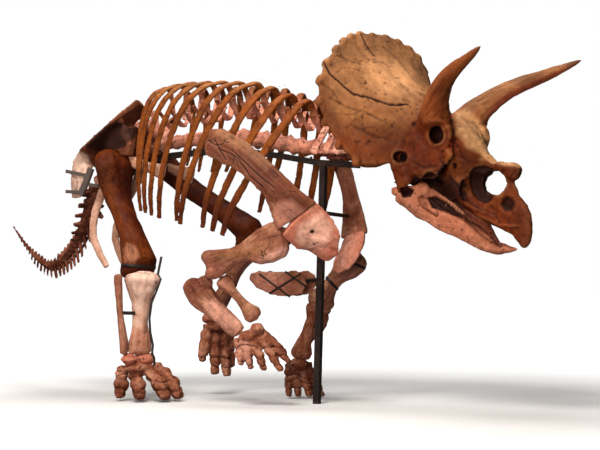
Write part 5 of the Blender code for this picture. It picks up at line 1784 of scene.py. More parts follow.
class Zone(Enum):
    """Colours of the skull's regions. The frill's top and the bridge's up-facing faces
    carry painted light, the far horn's underside painted reflected light and the jaw's top
    painted shade.
    """

    FACE = linear(90, 36, 19)
    # painted light on the frill's upper part
    FRILL_TOP = linear(154, 110, 78)
    FRILL_LOW = linear(120, 68, 44)
    NEAR_HORN = linear(134, 76, 50)
    NEAR_TIP = linear(96, 50, 34)
    FAR_HORN = linear(150, 104, 74)
    # painted pink reflected light on the far horn's underside
    FAR_UNDER = linear(160, 92, 72)
    FAR_TIP = linear(70, 40, 30)
    # painted highlight on the bridge's up-facing faces
    BRIDGE = linear(226, 172, 126)
    SNOUT = linear(106, 50, 30)
    BEAK = linear(92, 44, 28)
    BROW = linear(150, 92, 62)
    JAW = linear(184, 118, 92)
    # painted shade on the jaw's upper faces, under the skull
    JAW_TOP = linear(112, 60, 42)
    GUM = linear(158, 112, 84)


class CageTone(Enum):
    """Colours of the rib cage's regions."""

    RIBS = linear(134, 78, 46)
    LOW_ENDS = linear(88, 42, 27)
    TOPS = linear(172, 122, 82)
    SPINE = linear(226, 160, 138)
    SPINE_TOPS = linear(120, 66, 46)


# Seat of the jaw's joint as it is seen, sunk into the skull and into the jaw
JAW_JOINT = [(400.0, 188.0), (408.0, 187.0), (414.0, 190.5), (411.0, 197.0),
             (403.0, 198.0)]


@dataclass
class Head(BoneGroup):
    """Skull, frill, horns, beak and lower jaw."""

    coarse: float = 0.0099
    smoothing: int = 24
    jaw_coarse: float = 0.008
    jaw_smoothing: int = 12
    horn_base: tuple[float, float, float] = (0.47, 0.245, 0.50)
    horn_tip: tuple[float, float, float] = (0.938, 0.638, 1.144)
    horn_fade: Span = (0.72, 0.94)
    ridges: dict[str, Groove] = field(default_factory=lambda: {
        "brow edge": Groove([(428, 122), (436, 120), (445, 123), (450, 131), (449, 142),
                             (442, 149)], 2.6, -0.010, 0.0, 0.8),
        "cheek ridge": Groove([(447, 148), (452, 160), (449, 172), (458, 182),
                               (468, 192), (474, 204)], 2.4, -0.009, 0.0, 1.0),
        "lip": Groove([(474, 214), (485, 218.3), (498.3, 225), (510, 226),
                       (518.3, 225.8)], 1.6, -0.010, 0.0, 0.4)})
    face_seams: list[Pixels] = field(default_factory=lambda: [
        [(452, 140), (460, 147), (463, 157), (470, 165)],
        [(440, 160), (448, 168), (452, 178), (462, 190)],
        [(472, 204), (482, 210), (494, 213), (500, 222)],
        [(412, 160), (420, 166), (428, 168), (436, 165)],
        [(498, 160), (503, 170), (500, 182), (504, 192)]])
    seam_cut: tuple[float, ...] = (0.9, 0.006, 0.35, 1.2)
    openings: dict[str, Hollow] = field(default_factory=lambda: {
        "eye": Hollow(ellipse(436.7, 135.0, 6.6, 8.2), 0.06),
        "temple": Hollow(ellipse(400.0, 157.0, 6.6, 5.6), 0.05),
        "cheek": Hollow([(421.7, 179.2), (427.5, 173.0), (431.7, 172.5), (438.0, 177.0),
                         (445.0, 183.3), (441.7, 187.5), (432.5, 185.0),
                         (425.0, 180.8)], 0.05),
        "small gap": Hollow(ellipse(419.5, 184.2, 2.6, 2.8), 0.03),
        "jaw joint": Hollow(JAW_JOINT, 0.03),
        "foramen": Hollow(ellipse(455.0, 165.5, 1.8, 2.6), 0.03),
        "nostril": Hollow([(470.0, 173.3), (475.0, 167.5), (485.0, 165.8),
                           (493.3, 168.3), (490.0, 176.7), (490.0, 185.0),
                           (493.3, 195.0), (491.7, 200.8), (485.0, 203.3),
                           (478.3, 200.0), (473.3, 193.3), (470.0, 183.3)],
                          0.03, 0.85, 1.4),
        "snout": Hollow(ellipse(508.3, 204.0, 6.5, 7.0), 0.022, 0.75, 2.4)})
    frill_marks: dict[str, Groove] = field(default_factory=lambda: {
        "suture": Groove([(322, 60), (330, 74), (344, 86), (354, 94), (371, 98),
                          (391, 105), (408, 104)], 0.9, 0.011, 0.95, 0.7, False),
        "crack": Groove([(361, 34), (368, 46), (375, 55)], 0.6, 0.006, 0.8,
                        both=False)})
    frill_grooves: list[Pixels] = field(default_factory=lambda: [
        [(338, 56), (352, 62), (372, 60), (392, 66)],
        [(330, 98), (348, 108), (366, 112), (384, 122)],
        [(356, 128), (372, 136), (388, 140)],
        [(384, 48), (398, 58), (410, 72)],
        [(322, 84), (334, 92), (340, 104)]])
    frill_cut: tuple[float, ...] = (1.4, 0.005, 0.22, 2.2)
    jaw_joint: Hollow = field(default_factory=lambda: Hollow(JAW_JOINT, 0.03, 0.95, 1.2))
    jaw_hollow: Hollow = field(default_factory=lambda: Hollow(
        [(427.5, 198.0), (436.0, 196.7), (446.7, 203.0), (456.0, 211.0), (465.0, 217.5),
         (456.0, 216.5), (444.0, 212.0), (432.0, 208.0)], 0.03, 0.95, 1.6))
    jaw_groove: Groove = field(default_factory=lambda: Groove(
        [(466, 220), (478, 226), (490, 236), (500, 246)], 1.8, 0.008, 0.5, 0.8))
    tooth_row: Pixels = field(default_factory=lambda: [
        (447.0, 201.0), (452.0, 202.5), (460.0, 208.5), (467.0, 214.5), (463.0, 218.0),
        (455.0, 213.0), (447.0, 207.0)])
    tooth_count: int = 8
    tooth_lean: float = -1.5
    tooth_drop: float = 5.0
    dental_wall: list[tuple[float, ...]] = field(default_factory=lambda: [
        (0.36, 0.285, -0.190, 0.050), (0.42, 0.285, -0.170, 0.090),
        (0.50, 0.275, -0.150, 0.120), (0.58, 0.250, -0.130, 0.160),
        (0.66, 0.215, -0.120, 0.165), (0.74, 0.185, -0.128, 0.155),
        (0.84, 0.155, -0.145, 0.135), (0.94, 0.125, -0.165, 0.110)])
    wall_flatness: float = 4.0
    palate: list[tuple[float, ...]] = field(default_factory=lambda: [
        (0.38, 0.125, -0.040, 0.180), (0.52, 0.130, -0.040, 0.200),
        (0.64, 0.130, -0.050, 0.190), (0.80, 0.110, -0.070, 0.140)])
    palate_flatness: float = 5.0
    bridge_reach: Span = (0.55, 0.75)
    bridge_height: Span = (0.12, 0.25)
    brow_height: Span = (0.38, 0.52)
    snout_reach: Span = (0.98, 1.10)
    snout_height: Span = (0.14, 0.24)
    frill_height: Span = (1.98, 2.45)
    tip_height: Span = (1.00, 1.14)
    mouth_fades: tuple[Span, ...] = ((-0.170, -0.150), (0.34, 0.40), (-0.90, -0.80),
                                     (-0.10, -0.05))

    def build(self) -> None:
        """Build and dress every bone of the head."""
        self.build_skull()
        self.build_jaw()

    def build_skull(self) -> None:
        """Face, frill, horns and beak as one bone, with its openings and seams."""
        nodes = ["skull", "frill", "brow_horn_right", "brow_horn_left", "nose_horn",
                 "beak"]
        skull = Surface("skull_bone", nodes, self.frame, self.coarse, self.smoothing, 0,
                        [self.upright_walls("palate", self.palate, self.palate_flatness)])
        share = skull.shares(self.frame)
        horn = share["brow_horn_right"] + share["brow_horn_left"]
        face = 1 - horn - share["frill"]
        skull.roughen(0.30, 0.010, 2, 21, where=share["frill"])
        skull.roughen(0.07, 0.0040, 3, 22, where=share["frill"])
        skull.roughen(0.16, 0.008, 3, 11, where=face)
        skull.roughen(0.045, 0.0040, 3, 12, where=face)
        self.groove_horns(skull, share)
        self.cut_openings(skull)
        self.draw_frill(skull, share["frill"])
        skull.crack(0.11, 0.0030, 0.0025, 13, where=face * 0.8)
        skull.pit(0.020, 0.0020, 0.14, 14, where=1 - horn)
        self.paint_zones(skull, share)
        self.dress(skull, SKULL_BONE)

    def groove_horns(self, skull: Surface, share: dict[str, np.ndarray]) -> None:
        """Long grooves on both brow horns, which fade out towards the tips.

        Args:
            skull: The skull's surface.
            share: Share of each solid at each point.
        """
        for side in Side:
            base, tip = (head_matrix() @ Vector((end[0], end[1] * side.value, end[2]))
                         for end in (self.horn_base, self.horn_tip))
            reach = ((skull.rest - np.array(base)) @ np.array(tip - base)
                     / (tip - base).length_squared)
            where = share["brow_horn_" + side.word] * (1 - ramp(reach, *self.horn_fade))
            skull.streak(0.7, 0.030, 0.0050, 31, tip - base, where)
            skull.streak(0.3, 0.014, 0.0022, 37, tip - base, where)

    def cut_openings(self, skull: Surface) -> None:
        """Eye, temple, cheek and nose openings, and the ridges round them.

        Args:
            skull: The skull's surface.
        """
        for ridge in self.ridges.values():
            skull.mark(ridge)
        for line in self.face_seams:
            skull.mark(Groove(line, *self.seam_cut))
        for hollow in self.openings.values():
            skull.sink(hollow)

    def draw_frill(self, skull: Surface, where: np.ndarray) -> None:
        """Suture, cracks and shallow grooves on the frill's near face.

        Args:
            skull: The skull's surface.
            where: Share of the frill at each point.
        """
        for groove in self.frill_marks.values():
            skull.mark(groove)
        for line in self.frill_grooves:
            skull.mark(Groove(line, *self.frill_cut, both=False))
        skull.crack(0.22, 0.0040, 0.0018, 24, where=where * 0.7)

    def paint_zones(self, skull: Surface, share: dict[str, np.ndarray]) -> None:
        """Colour the skull's regions, some with painted light and shade, and paint shade
        deep inside the mouth.

        Args:
            skull: The skull's surface.
            share: Share of each solid at each point.
        """
        rest = skull.rest
        local = (rest - np.array(OCCIPUT)) @ np.array(head_matrix().to_3x3())
        frill = share["frill"]
        near = share["brow_horn_right"]
        far = share["brow_horn_left"]
        tips = ramp(local[:, 2], *self.tip_height)
        weights = {
            Zone.FACE: np.ones(len(rest)),
            # up-facing faces of the bridge get a painted highlight
            Zone.BRIDGE: (ramp(skull.normals[:, 2], 0.15, 0.7)
                          * ramp(local[:, 0], *self.bridge_reach)
                          * ramp(local[:, 2], *self.bridge_height)),
            Zone.BROW: ramp(local[:, 2], *self.brow_height) * 0.8,
            Zone.SNOUT: (ramp(local[:, 0], *self.snout_reach)
                         * (1 - ramp(local[:, 2], *self.snout_height))),
            Zone.FRILL_LOW: frill,
            # the frill's upper part gets painted light
            Zone.FRILL_TOP: frill * ramp(rest[:, 2], *self.frill_height),
            Zone.NEAR_HORN: near,
            Zone.NEAR_TIP: near * tips,
            Zone.FAR_HORN: far,
            # the far horn's downward faces get painted reflected light
            Zone.FAR_UNDER: far * ramp(-skull.normals[:, 2], -0.1, 0.6),
            Zone.FAR_TIP: far * tips,
            Zone.BEAK: share["beak"],
        }
        for zone, weight in weights.items():
            skull.paint(zone.value, weight)
        # painted shade deep inside the mouth
        middle, behind, before, below = self.mouth_fades
        deep = (ramp(-np.abs(local[:, 1]), *middle) * ramp(local[:, 0], *behind)
                * ramp(-local[:, 0], *before) * ramp(-local[:, 2], *below))
        skull.stain = np.maximum(skull.stain, 0.8 * deep)

    def upright_walls(self, name: str, stations: list[tuple[float, ...]],
                      flatness: float) -> bpy.types.Object:
        """Thin upright walls along both sides of the mouth.

        Args:
            name: Name of the walls.
            stations: Rows of x, y, z and height in the head's own frame.
            flatness: Height of the walls over their thickness.

        Returns:
            Both walls as one object.
        """
        place = head_matrix()
        lines = []
        for side in Side:
            rows = smooth_line(stations, 24)
            for row in rows:
                row[:3] = place @ Vector((row[0], row[1] * side.value, row[2]))
            lines.append(rows)
        up = np.array(place.to_3x3() @ Vector((0.0, 0.0, 1.0)))
        return SweepTree(flatness).run(name, lines_mesh(name, lines, flatness, up))

    def build_jaw(self) -> None:
        """Lower jaw with its hollow, teeth and the long groove under them."""
        jaw = Surface("lower_jaw_bone", ["lower_jaw"], self.frame, self.jaw_coarse,
                      self.jaw_smoothing, 0,
                      [self.upright_walls("dental_walls", self.dental_wall,
                                          self.wall_flatness)])
        jaw.sink(self.jaw_joint)
        jaw.roughen(0.10, 0.005, 3, 41)
        jaw.roughen(0.03, 0.002, 2, 44)
        jaw.sink(self.jaw_hollow)
        jaw.mark(self.jaw_groove)
        jaw.pit(0.018, 0.0018, 0.14, 42)
        jaw.crack(0.09, 0.003, 0.002, 43)
        jaw.paint(Zone.JAW.value, np.ones(len(jaw.rest)))
        # the jaw's up-facing faces get painted shade
        jaw.paint(Zone.JAW_TOP.value, ramp(jaw.normals[:, 2], 0.2, 0.8))
        jaw.paint(Zone.GUM.value, jaw.patch(self.tooth_row, 1.0, True))
        first, last = np.array(self.tooth_row[0]), np.array(self.tooth_row[3])
        for index in range(self.tooth_count):
            top = first + (last - first) * index / (self.tooth_count - 1)
            foot = (top[0] + self.tooth_lean, top[1] + self.tooth_drop)
            jaw.mark(Groove([tuple(top), foot], 0.5, 0.006, 0.6))
        self.dress(jaw, PINK_JAW)


@dataclass
class Trunk(BoneGroup):
    """Rib cage, neck, fused hip vertebrae and tail."""

    coarse: float = 0.012
    smoothing: int = 5
    back_line: list[tuple[float, ...]] = field(default_factory=lambda: [
        (-0.40, 0.0, 1.80), (-0.02, 0.0, 2.02), (0.30, 0.0, 2.12), (0.70, 0.0, 2.145),
        (1.10, 0.0, 2.135), (1.50, 0.0, 2.065), (1.90, 0.0, 1.995), (2.30, 0.0, 1.985)])
    spine_tops: list[tuple[float, ...]] = field(default_factory=lambda: [
        (0.30, 2.500), (0.70, 2.560), (1.02, 2.640), (1.25, 2.605), (1.45, 2.550),
        (1.65, 2.475), (1.85, 2.380), (2.05, 2.290), (2.30, 2.210)])
    rib_tops: list[float] = field(default_factory=lambda: [
        2.570, 2.585, 2.590, 2.585, 2.575, 2.560, 2.545, 2.500, 2.440, 2.385])
    rib_sweeps: list[float] = field(default_factory=lambda: [
        0.180, 0.304, 0.385, 0.453, 0.505, 0.473, 0.580, 0.510, 0.558, 0.607])
    left_ends: list[float] = field(default_factory=lambda: [
        1.90, 1.90, 1.90, 1.90, 1.90, 1.55, 1.75, 1.50, 1.42, 1.36])
    left_sweep: float = 0.45
    first_rib: float = 0.43
    rib_spacing: float = 0.150
    rib_width: float = 0.052
    rib_gain: float = 0.026
    rib_flatness: float = 1.9
    rib_samples: int = 44
    rear_bulge: float = 0.34
    bulge_gain: float = 0.19
    rear_low: float = 1.56
    low_gain: float = 0.23
    cage_coarse: float = 0.0085
    back_start: float = 0.30
    back_end: float = 1.83
    vertebra_spacing: float = 0.103
    neck_start: float = 1.885
    neck_spacing: float = 0.092
    neck_count: int = 5
    thigh_heights: Span = (2.04, 1.370)
    thigh_length: float = 0.880
    thigh_half: float = 0.13
    rib_gap: float = 0.05
    rib_root: Span = (0.070, 0.19)
    rib_head: float = 0.7
    rib_shoulder: float = 0.38
    rib_taper: float = 0.22
    rib_end: float = 0.62

    def build(self) -> None:
        """Build and dress the back from the skull to the tail's tip."""
        for side in Side:
            self.build_cage(side)
        self.build_neck()
        for node in ("sacrum", "tail_base", "tail_middle", "tail_tip"):
            self.make(node)

    def back_height(self, x: float) -> float:
        """Height of the vertebrae's centres at x, as the back line gives it."""
        line = smooth_line(self.back_line, 141)
        return float(np.interp(x, line[:, 0], line[:, 2]))

    def top_height(self, x: float) -> float:
        """Height of the neural spines' tops at x."""
        line = smooth_line(self.spine_tops, 81)
        return float(np.interp(x, line[:, 0], line[:, 1]))

    def rib(self, index: int, side: Side) -> np.ndarray:
        """Samples of one rib as rows of x, y, z and width.

        Args:
            index: Number of the rib, from the rear.
            side: Its side.

        Returns:
            The samples, one a row.
        """
        x = self.first_rib + self.rib_spacing * index
        part = index / (len(self.rib_tops) - 1)
        sweep = self.rib_sweeps[index]
        bulge = self.rear_bulge + self.bulge_gain * min(part * 2.0, 1.0)
        top = self.rib_tops[index]
        low = self.rear_low - self.low_gain * part ** 1.3
        if side is Side.LEFT:
            sweep *= self.left_sweep
            low = max(self.left_ends[index], self.thigh_top(x - sweep) + self.rib_gap)
        width = self.rib_width + self.rib_gain * part
        y = float(side.value)
        root_y, root_rise = self.rib_root
        stations = [(x - 0.005, root_y * y, self.back_height(x) + root_rise,
                     width * self.rib_head),
                    (x - 0.015, bulge * self.rib_shoulder * y, top - 0.020, width)]
        if part < 0.5:
            first, second, share = REAR_RIB, MIDDLE_RIB, part * 2.0
        else:
            first, second, share = MIDDLE_RIB, FRONT_RIB, part * 2.0 - 1.0
        for before, after in zip(first, second):
            drop = before[0]
            shift = sweep * (before[1] + (after[1] - before[1]) * share)
            reach = bulge * (before[2] + (after[2] - before[2]) * share)
            scale = self.rib_end if drop == 1.0 else 1.0 - self.rib_taper * drop
            stations.append((x - 0.02 - shift, reach * y, top + (low - top) * drop,
                             width * scale))
        samples = smooth_line(stations, self.rib_samples)
        samples[:, 0] += HIPS_X
        return samples

    def thigh_top(self, x: float) -> float:
        """Top of the raised left thigh at x, which the left ribs stay clear of.

        Args:
            x: Place in front of the hip joint.

        Returns:
            The height over the floor.
        """
        t = min(max(x / self.thigh_length, 0.0), 1.15)
        hip, knee = self.thigh_heights
        return hip + (knee - hip) * t + self.thigh_half

    def vertebrae(self, name: str, places: list[float], half: Side | None
                  ) -> bpy.types.Object:
        """Row of vertebrae along the back, set out by one tree.

        Args:
            name: Name of the row.
            places: Where each one stands, along the back line.
            half: Side of which only the half is made, if any.

        Returns:
            The row as one object.
        """
        seats = []
        sizes = []
        for x in places:
            centre = self.back_height(x)
            seats.append((x + HIPS_X, 0.0, centre))
            sizes.append((1.0, 1.0, (self.top_height(x) - centre) / Vertebra.height))
        model = Vertebra().build(half)
        row = RowTree(model).run(name, points_mesh(name, seats, size=sizes))
        bpy.data.objects.remove(model)
        return row

    def build_cage(self, side: Side) -> None:
        """One side of the rib cage with its half of the vertebrae.

        Args:
            side: The side.
        """
        lines = [self.rib(index, side) for index in range(len(self.rib_tops))]
        mesh = lines_mesh("ribs", lines, self.rib_flatness)
        ribs = SweepTree(self.rib_flatness).run("ribs", mesh)
        length = self.back_end - self.back_start
        count = int(length / self.vertebra_spacing)
        places = [self.back_start + length * (index + 0.5) / count
                  for index in range(count)]
        row = self.vertebrae("dorsals", places, side)
        node = "ribcage_" + side.word
        cage = Surface(node + "_bone", [node], self.frame, self.cage_coarse, 3, 0,
                       [ribs, row], False)
        cage.points[:, 1] = np.where(cage.points[:, 1] * side.value < GAP / 2,
                                     side.value * GAP / 2, cage.points[:, 1])
        cage.roughen(0.06, 0.0035, 2, 51)
        cage.roughen(0.018, 0.0014, 2, 52)
        cage.pit(0.022, 0.0018, 0.16, 53)
        rest = cage.rest
        middle = 1 - ramp(np.abs(rest[:, 1]), 0.10, 0.20)
        weights = {
            CageTone.RIBS: np.ones(len(rest)),
            CageTone.LOW_ENDS: 0.85 * ramp(-rest[:, 2], -1.95, -1.50),
            CageTone.TOPS: (0.6 * ramp(rest[:, 2], 2.42, 2.56)
                            * ramp(np.abs(rest[:, 1]), 0.16, 0.26)),
            CageTone.SPINE: middle * ramp(rest[:, 2], 1.95, 2.05),
            CageTone.SPINE_TOPS: middle * ramp(rest[:, 2], 2.42, 2.52) * 0.8,
        }
        for tone, weight in weights.items():
            cage.paint(tone.value, weight)
        self.dress(cage, RIB_BROWN)

    def build_neck(self) -> None:
        """Neck vertebrae with their short ribs."""
        places = [self.neck_start + self.neck_spacing * index
                  for index in range(self.neck_count)]
        row = self.vertebrae("cervicals", places, None)
        neck = Surface("neck_bone", ["neck"], self.frame, 0.0105, 4, 1, [row])
        neck.roughen(0.05, 0.005, 3, 54)
        neck.pit(0.03, 0.004, 0.22, 55)
        self.dress(neck, PINK_SPINE)


@dataclass
class Hips(BoneGroup):
    """Hip blades and the bones under them."""

    def build(self) -> None:
        """Build and dress both sides."""
        for side in Side:
            for node in ("ilium_", "ischium_", "pubis_"):
                self.make(node + side.word)


@dataclass
class HindLimb(BoneGroup):
    """Thigh, shin, ankle and foot of one side."""

    side: Side = Side.RIGHT
    swell: float = 0.009
    swell_drop: float = 0.12
    joint_heights: tuple[float, ...] = (0.085, 0.175)
    joint_half: float = 0.013
    joint_depth: float = 0.008

    def build(self) -> None:
        """Build and dress the leg."""
        word = self.side.word
        self.make("femur_" + word)
        self.make("tibia_" + word, CREAM_SHIN if self.side is Side.RIGHT else None)
        self.make("fibula_" + word)
        ankle = self.make("ankle_" + word)
        foot = self.surface("foot_" + word, 0.010)
        foot.roughen(0.06, 0.006, 3, 79)
        top = ankle.rest[:, 2].min()
        foot.lift(self.swell * ramp(foot.rest[:, 2], top, top - self.swell_drop))
        bottom = foot.rest[:, 2].min()
        foot.joints(bottom, self.joint_heights, self.joint_half, self.joint_depth)
        foot.pit(0.020, 0.0016, 0.16, 80)
        self.dress(foot, FOOT_BROWN)


@dataclass
class ForeLimb(BoneGroup):
    """Shoulder blade, coracoid, arm, hand and breast plate of one side."""

    side: Side = Side.RIGHT
    coarse: float = 0.012
    blade_cracks: list[Pixels] = field(default_factory=lambda: [
        [(232, 150), (246, 163), (262, 178), (274, 187)],
        [(222, 150), (238, 158), (250, 176), (262, 186)],
        [(214, 139), (220, 150), (226, 160)],
        [(204, 139), (216, 144), (228, 142)]])
    crack_cut: tuple[float, ...] = (0.7, 0.005, 0.35, 1.6)
    foramen: tuple[float, float] = (312.5, 232.0)
    foramen_radius: float = 1.7
    foramen_depth: float = 0.02
    swell: float = 0.006
    swell_heights: Span = (0.25, 0.15)
    joint_heights: tuple[float, ...] = (0.055, 0.115, 0.170)
    joint_half: float = 0.009
    joint_depth: float = 0.006

    def build(self) -> None:
        """Build and dress the shoulder and arm."""
        word = self.side.word
        near = self.side is Side.RIGHT
        blade = self.surface("scapula_" + word)
        blade.roughen(0.14, 0.005, 3, 81)
        blade.streak(0.5, 0.03, 0.0022, 82)
        if near:
            for line in self.blade_cracks:
                blade.mark(Groove(line, *self.crack_cut, both=False))
        blade.crack(0.10, 0.003, 0.002, 83)
        self.dress(blade, WARM_LIMB)
        coracoid = self.surface("coracoid_" + word, 0.010)
        coracoid.roughen(0.09, 0.005, 3, 84)
        if near:
            coracoid.dent(self.foramen, self.foramen_radius, self.foramen_depth, 1.0)
        coracoid.crack(0.07, 0.0025, 0.002, 85)
        self.dress(coracoid, ROSE_PLATE)
        self.make("humerus_" + word)
        for node in ("ulna_", "radius_"):
            self.make(node + word, None if near else FOOT_BROWN)
        hand = self.surface("hand_" + word, 0.009)
        hand.roughen(0.05, 0.005, 3, 91)
        bottom = hand.rest[:, 2].min()
        high, low = self.swell_heights
        hand.lift(self.swell * ramp(hand.rest[:, 2], bottom + high, bottom + low))
        hand.joints(bottom, self.joint_heights, self.joint_half, self.joint_depth)
        hand.pit(0.018, 0.0014, 0.16, 92)
        self.dress(hand, FOOT_BROWN)
        self.make("sternal_" + word)


# Stand

def convex_outline(points: np.ndarray) -> np.ndarray:
    """Corners of the tightest outline round points in two dimensions, in order.

    Args:
        points: The points, one a row.

    Returns:
        The corners, one a row.
    """
    ordered = points[np.lexsort((points[:, 1], points[:, 0]))]
    chains = []
    for rows in (ordered, ordered[::-1]):
        chain: list[np.ndarray] = []
        for row in rows:
            while len(chain) > 1:
                first, second = chain[-1] - chain[-2], row - chain[-2]
                if first[0] * second[1] - first[1] * second[0] > 0:
                    break
                chain.pop()
            chain.append(row)
        chains += chain[:-1]
    return np.array(chains)


@dataclass(frozen=True)
class Strap:
    """Steel strap round a bone, through two points of the view."""

    piece: str
    first: tuple[float, float]
    second: tuple[float, float]
    width: float = 0.022
    flatness: float = 6.0
    reach: float = 9.0
    lift: float = 0.002
    near: float = 0.010
    samples: int = 72

    def line(self) -> np.ndarray:
        """Closed line of the strap on the bone, as rows of x, y, z and width.

        Returns:
            The rows, in order round the bone.
        """
        mesh = bpy.data.objects[self.piece].data
        flat = np.empty(len(mesh.vertices) * 3, np.float32)
        mesh.vertices.foreach_get("co", flat)
        points = flat.reshape(-1, 3).astype(float)
        out = self.out()
        near = np.abs((points - np.array(VIEW.eye)) @ out) < self.near
        first, second = np.array(self.first), np.array(self.second)
        gap = np.linalg.norm(VIEW.project(points) - (first + second) / 2, axis=1)
        near &= gap < np.linalg.norm(second - first) / 2 + self.reach
        picked = points[near]
        centre = picked.mean(axis=0)
        across = unit(np.cross(out, (0.0, 0.0, 1.0)))
        up = np.cross(out, across)
        spots = np.stack([(picked - centre) @ across, (picked - centre) @ up], axis=1)
        ring = convex_outline(spots)
        ring = ring + unit(ring) * self.lift
        ring = np.vstack([ring, ring[:1]])
        run = np.concatenate([[0.0], np.cumsum(np.linalg.norm(np.diff(ring, axis=0),
                                                              axis=1))])
        steps = np.linspace(0.0, run[-1], self.samples, endpoint=False)
        even = np.stack([np.interp(steps, run, ring[:, axis]) for axis in (0, 1)], axis=1)
        for _ in range(2):
            even = (np.roll(even, 1, axis=0) + 2 * even + np.roll(even, -1, axis=0)) / 4
        places = centre + even[:, :1] * across + even[:, 1:] * up
        return np.hstack([places, np.full((self.samples, 1), self.width)])

    def out(self) -> np.ndarray:
        """Direction square to the plane in which the strap lies."""
        return unit(np.cross(VIEW.ray(self.first), VIEW.ray(self.second)))

    def build(self, name: str) -> None:
        """Swept steel band on the stand's body.

        Args:
            name: Name of the strap.
        """
        mesh = lines_mesh(name, [self.line()], self.flatness, self.out(), True)
        tree = SweepTree(self.flatness, band=True,
                         material=BLACK_STEEL.material(name + "_paint"))
        band = tree.run(name, mesh)
        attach(band, BODY)
        LOG.info("%s: %d faces", name, len(band.data.polygons))


STRAPS = {
    "strap_knee": Strap("femur_right_bone", (121, 265), (162, 268), 0.026),
    "strap_breast_rear": Strap("sternal_right_bone", (266, 279), (286, 294), 0.016),
    "strap_breast_front": Strap("sternal_right_bone", (286, 272), (308, 288), 0.016),
    "strap_breast_cross": Strap("sternal_right_bone", (267, 295), (299, 275), 0.016),
    "strap_arm_upper": Strap("humerus_left_bone", (340, 258), (362, 267), 0.024),
    "strap_arm_lower": Strap("humerus_left_bone", (328, 279), (350, 303), 0.024),
}


@dataclass
class Stand:
    """Steel post, beam, rods, straps and clamps that carry the bones."""

    frame: dict
    bolt_radius: float = 0.011
    bolt_height: float = 0.007
    bolt_count: int = 9
    bolt_y: float = -0.029
    near_corners: int = 12

    def build(self) -> None:
        """Paint the bars and add their bolts and straps."""
        for name, strap in STRAPS.items():
            strap.build(name)
        for name, node in self.frame["nodes"].items():
            if not name.startswith("stand_"):
                continue
            finish = GREY_STEEL if "bracket" in name else BLACK_STEEL
            for slot in node.material_slots:
                slot.material = finish.material(name + "_paint")
            LOG.info("%s painted", name)
        self.build_bolts()

    def build_bolts(self) -> None:
        """Hexagon bolts along the beam, set out by one tree."""
        low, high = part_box("stand_spine_beam")
        places = []
        for index in range(self.bolt_count):
            x = low.x + (high.x - low.x) * (index + 0.5) / self.bolt_count
            places.append((x, self.bolt_y, self.beam_height(x)))
        tree = BoltTree(self.bolt_radius, self.bolt_height, BLACK_STEEL)
        bolts = tree.run("beam_bolts", points_mesh("beam_bolts", places))
        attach(bolts, BODY)
        LOG.info("%s: %d faces", bolts.name, len(bolts.data.polygons))

    def beam_height(self, x: float) -> float:
        """Height of the beam's middle at x, from its solid.

        Args:
            x: The place along the beam.

        Returns:
            The height over the floor.
        """
        mesh = self.frame["nodes"]["stand_spine_beam"].data
        points = np.array([vertex.co for vertex in mesh.vertices])
        near = points[np.argsort(np.abs(points[:, 0] - x))[:self.near_corners]]
        return float(near[:, 2].mean())


# Studio

@dataclass(frozen=True)
class Lamp:
    """Soft square lamp that faces a target."""

    name: str
    place: tuple[float, float, float]
    target: tuple[float, float, float]
    size: float
    power: float
    colour: Colour

    def build(self) -> None:
        """Hang the lamp."""
        data = bpy.data.lights.new(self.name, "AREA")
        data.size = self.size
        data.energy = self.power
        data.color = self.colour
        item = bpy.data.objects.new(self.name, data)
        bpy.context.scene.collection.objects.link(item)
        place = Vector(self.place)
        turn = (Vector(self.target) - place).to_track_quat("-Z", "Y").to_matrix().to_4x4()
        item.matrix_world = Matrix.Translation(place) @ turn


LAMPS = (
    Lamp("key", (0.4, -5.2, 7.4), (0.1, 0.0, 1.5), 2.8, 600.0, (1.0, 0.955, 0.89)),
    Lamp("rear", (-8.0, -4.6, 2.6), (-2.0, 0.0, 1.3), 3.0, 130.0, (1.0, 0.84, 0.78)),
    Lamp("front", (2.6, -8.6, 2.6), (-0.4, 0.0, 1.2), 2.4, 440.0, (1.0, 0.86, 0.78)),
    Lamp("top", (-0.8, 0.3, 7.5), (-0.8, 0.0, 0.0), 2.6, 270.0, (1.0, 0.98, 0.96)),
)


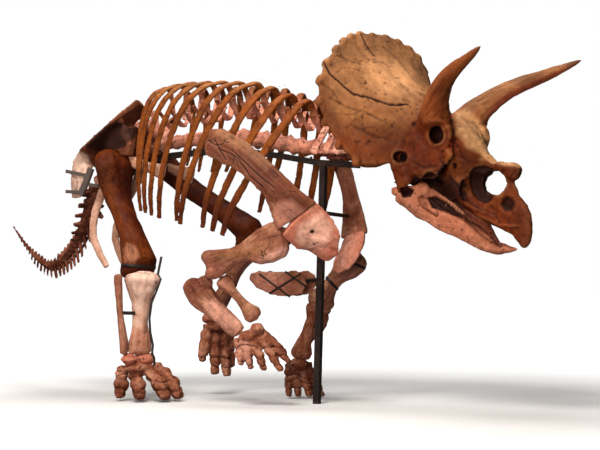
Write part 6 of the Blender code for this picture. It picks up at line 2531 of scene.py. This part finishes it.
@dataclass
class Studio:
    """Pale floor, white surroundings and soft lamps."""

    floor_radius: float = 60.0
    glow_start: float = 2.6
    glow_end: float = 6.5
    near_glow: float = 0.03
    backdrop: float = 1.0
    surroundings: float = 0.07
    floor_tone: float = 0.80
    floor_return: float = 0.20

    def build(self) -> None:
        """Set up the floor, the world and the lamps."""
        self.build_floor()
        self.build_world()
        for lamp in LAMPS:
            lamp.build()

    def build_floor(self) -> None:
        """Wide pale floor that fades into the backdrop, and gives back little light."""
        shape = bmesh.new()
        bmesh.ops.create_circle(shape, cap_ends=True, segments=96,
                                radius=self.floor_radius)
        mesh = bpy.data.meshes.new("floor")
        shape.to_mesh(mesh)
        shape.free()
        floor = new_object("floor", mesh)
        bench = Bench("floor_paint")
        away = bench.node("ShaderNodeVectorMath", operation="LENGTH")
        bench.feed(away.inputs[0], bench.place)
        glow = bench.span(away.outputs["Value"], self.glow_start, self.glow_end,
                          self.near_glow, self.backdrop)
        bench.feed(bench.shader.inputs["Base Color"], (self.floor_tone,) * 3)
        bench.shader.inputs["Roughness"].default_value = 0.9
        bench.shader.inputs["Specular IOR Level"].default_value = 0.0
        bench.shader.inputs["Emission Color"].default_value = (1.0, 1.0, 1.0, 1.0)
        bench.feed(bench.shader.inputs["Emission Strength"], glow)
        dim = bench.node("ShaderNodeBsdfDiffuse")
        dim.inputs["Color"].default_value = (*(self.floor_return,) * 3, 1.0)
        path = bench.node("ShaderNodeLightPath")
        mixed = bench.node("ShaderNodeMixShader")
        bench.feed(mixed.inputs[0], path.outputs["Is Camera Ray"])
        bench.feed(mixed.inputs[1], dim.outputs[0])
        bench.feed(mixed.inputs[2], bench.shader.outputs[0])
        end = bench.tree.nodes["Material Output"]
        bench.feed(end.inputs["Surface"], mixed.outputs[0])
        mesh.materials.append(bench.material)
        floor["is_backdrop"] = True

    def build_world(self) -> None:
        """White surroundings, dimmer as a light than as a backdrop."""
        world = bpy.data.worlds.new("studio")
        world.use_nodes = True
        tree = world.node_tree
        light = tree.nodes["Background"]
        seen = tree.nodes.new("ShaderNodeBackground")
        for background, strength in ((light, self.surroundings), (seen, self.backdrop)):
            background.inputs["Color"].default_value = (1.0, 1.0, 1.0, 1.0)
            background.inputs["Strength"].default_value = strength
        path = tree.nodes.new("ShaderNodeLightPath")
        mixed = tree.nodes.new("ShaderNodeMixShader")
        tree.links.new(path.outputs["Is Camera Ray"], mixed.inputs["Fac"])
        tree.links.new(light.outputs["Background"], mixed.inputs[1])
        tree.links.new(seen.outputs["Background"], mixed.inputs[2])
        tree.links.new(mixed.outputs["Shader"], tree.nodes["World Output"].inputs[0])
        bpy.context.scene.world = world
        bpy.context.scene.view_settings.view_transform = "Standard"


def as_lists(box: tuple[Vector, Vector]) -> list[list[float]]:
    """Corners of a box as plain lists."""
    return [[float(value) for value in corner] for corner in box]


def main() -> None:
    """Build the skeleton's looks around its frame."""
    logging.basicConfig(level=logging.INFO, format="%(name)s %(message)s")
    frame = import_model()
    cad_box = as_lists(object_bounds())
    box = (np.array(cad_box[0]), np.array(cad_box[1]))
    VIEW.camera()
    groups = [Head(frame, box), Trunk(frame, box), Hips(frame, box)]
    groups += [HindLimb(frame, box, side=side) for side in Side]
    groups += [ForeLimb(frame, box, side=side) for side in Side]
    for group in groups:
        group.build()
    Stand(frame).build()
    Studio().build()


if __name__ == "__main__":
    main()
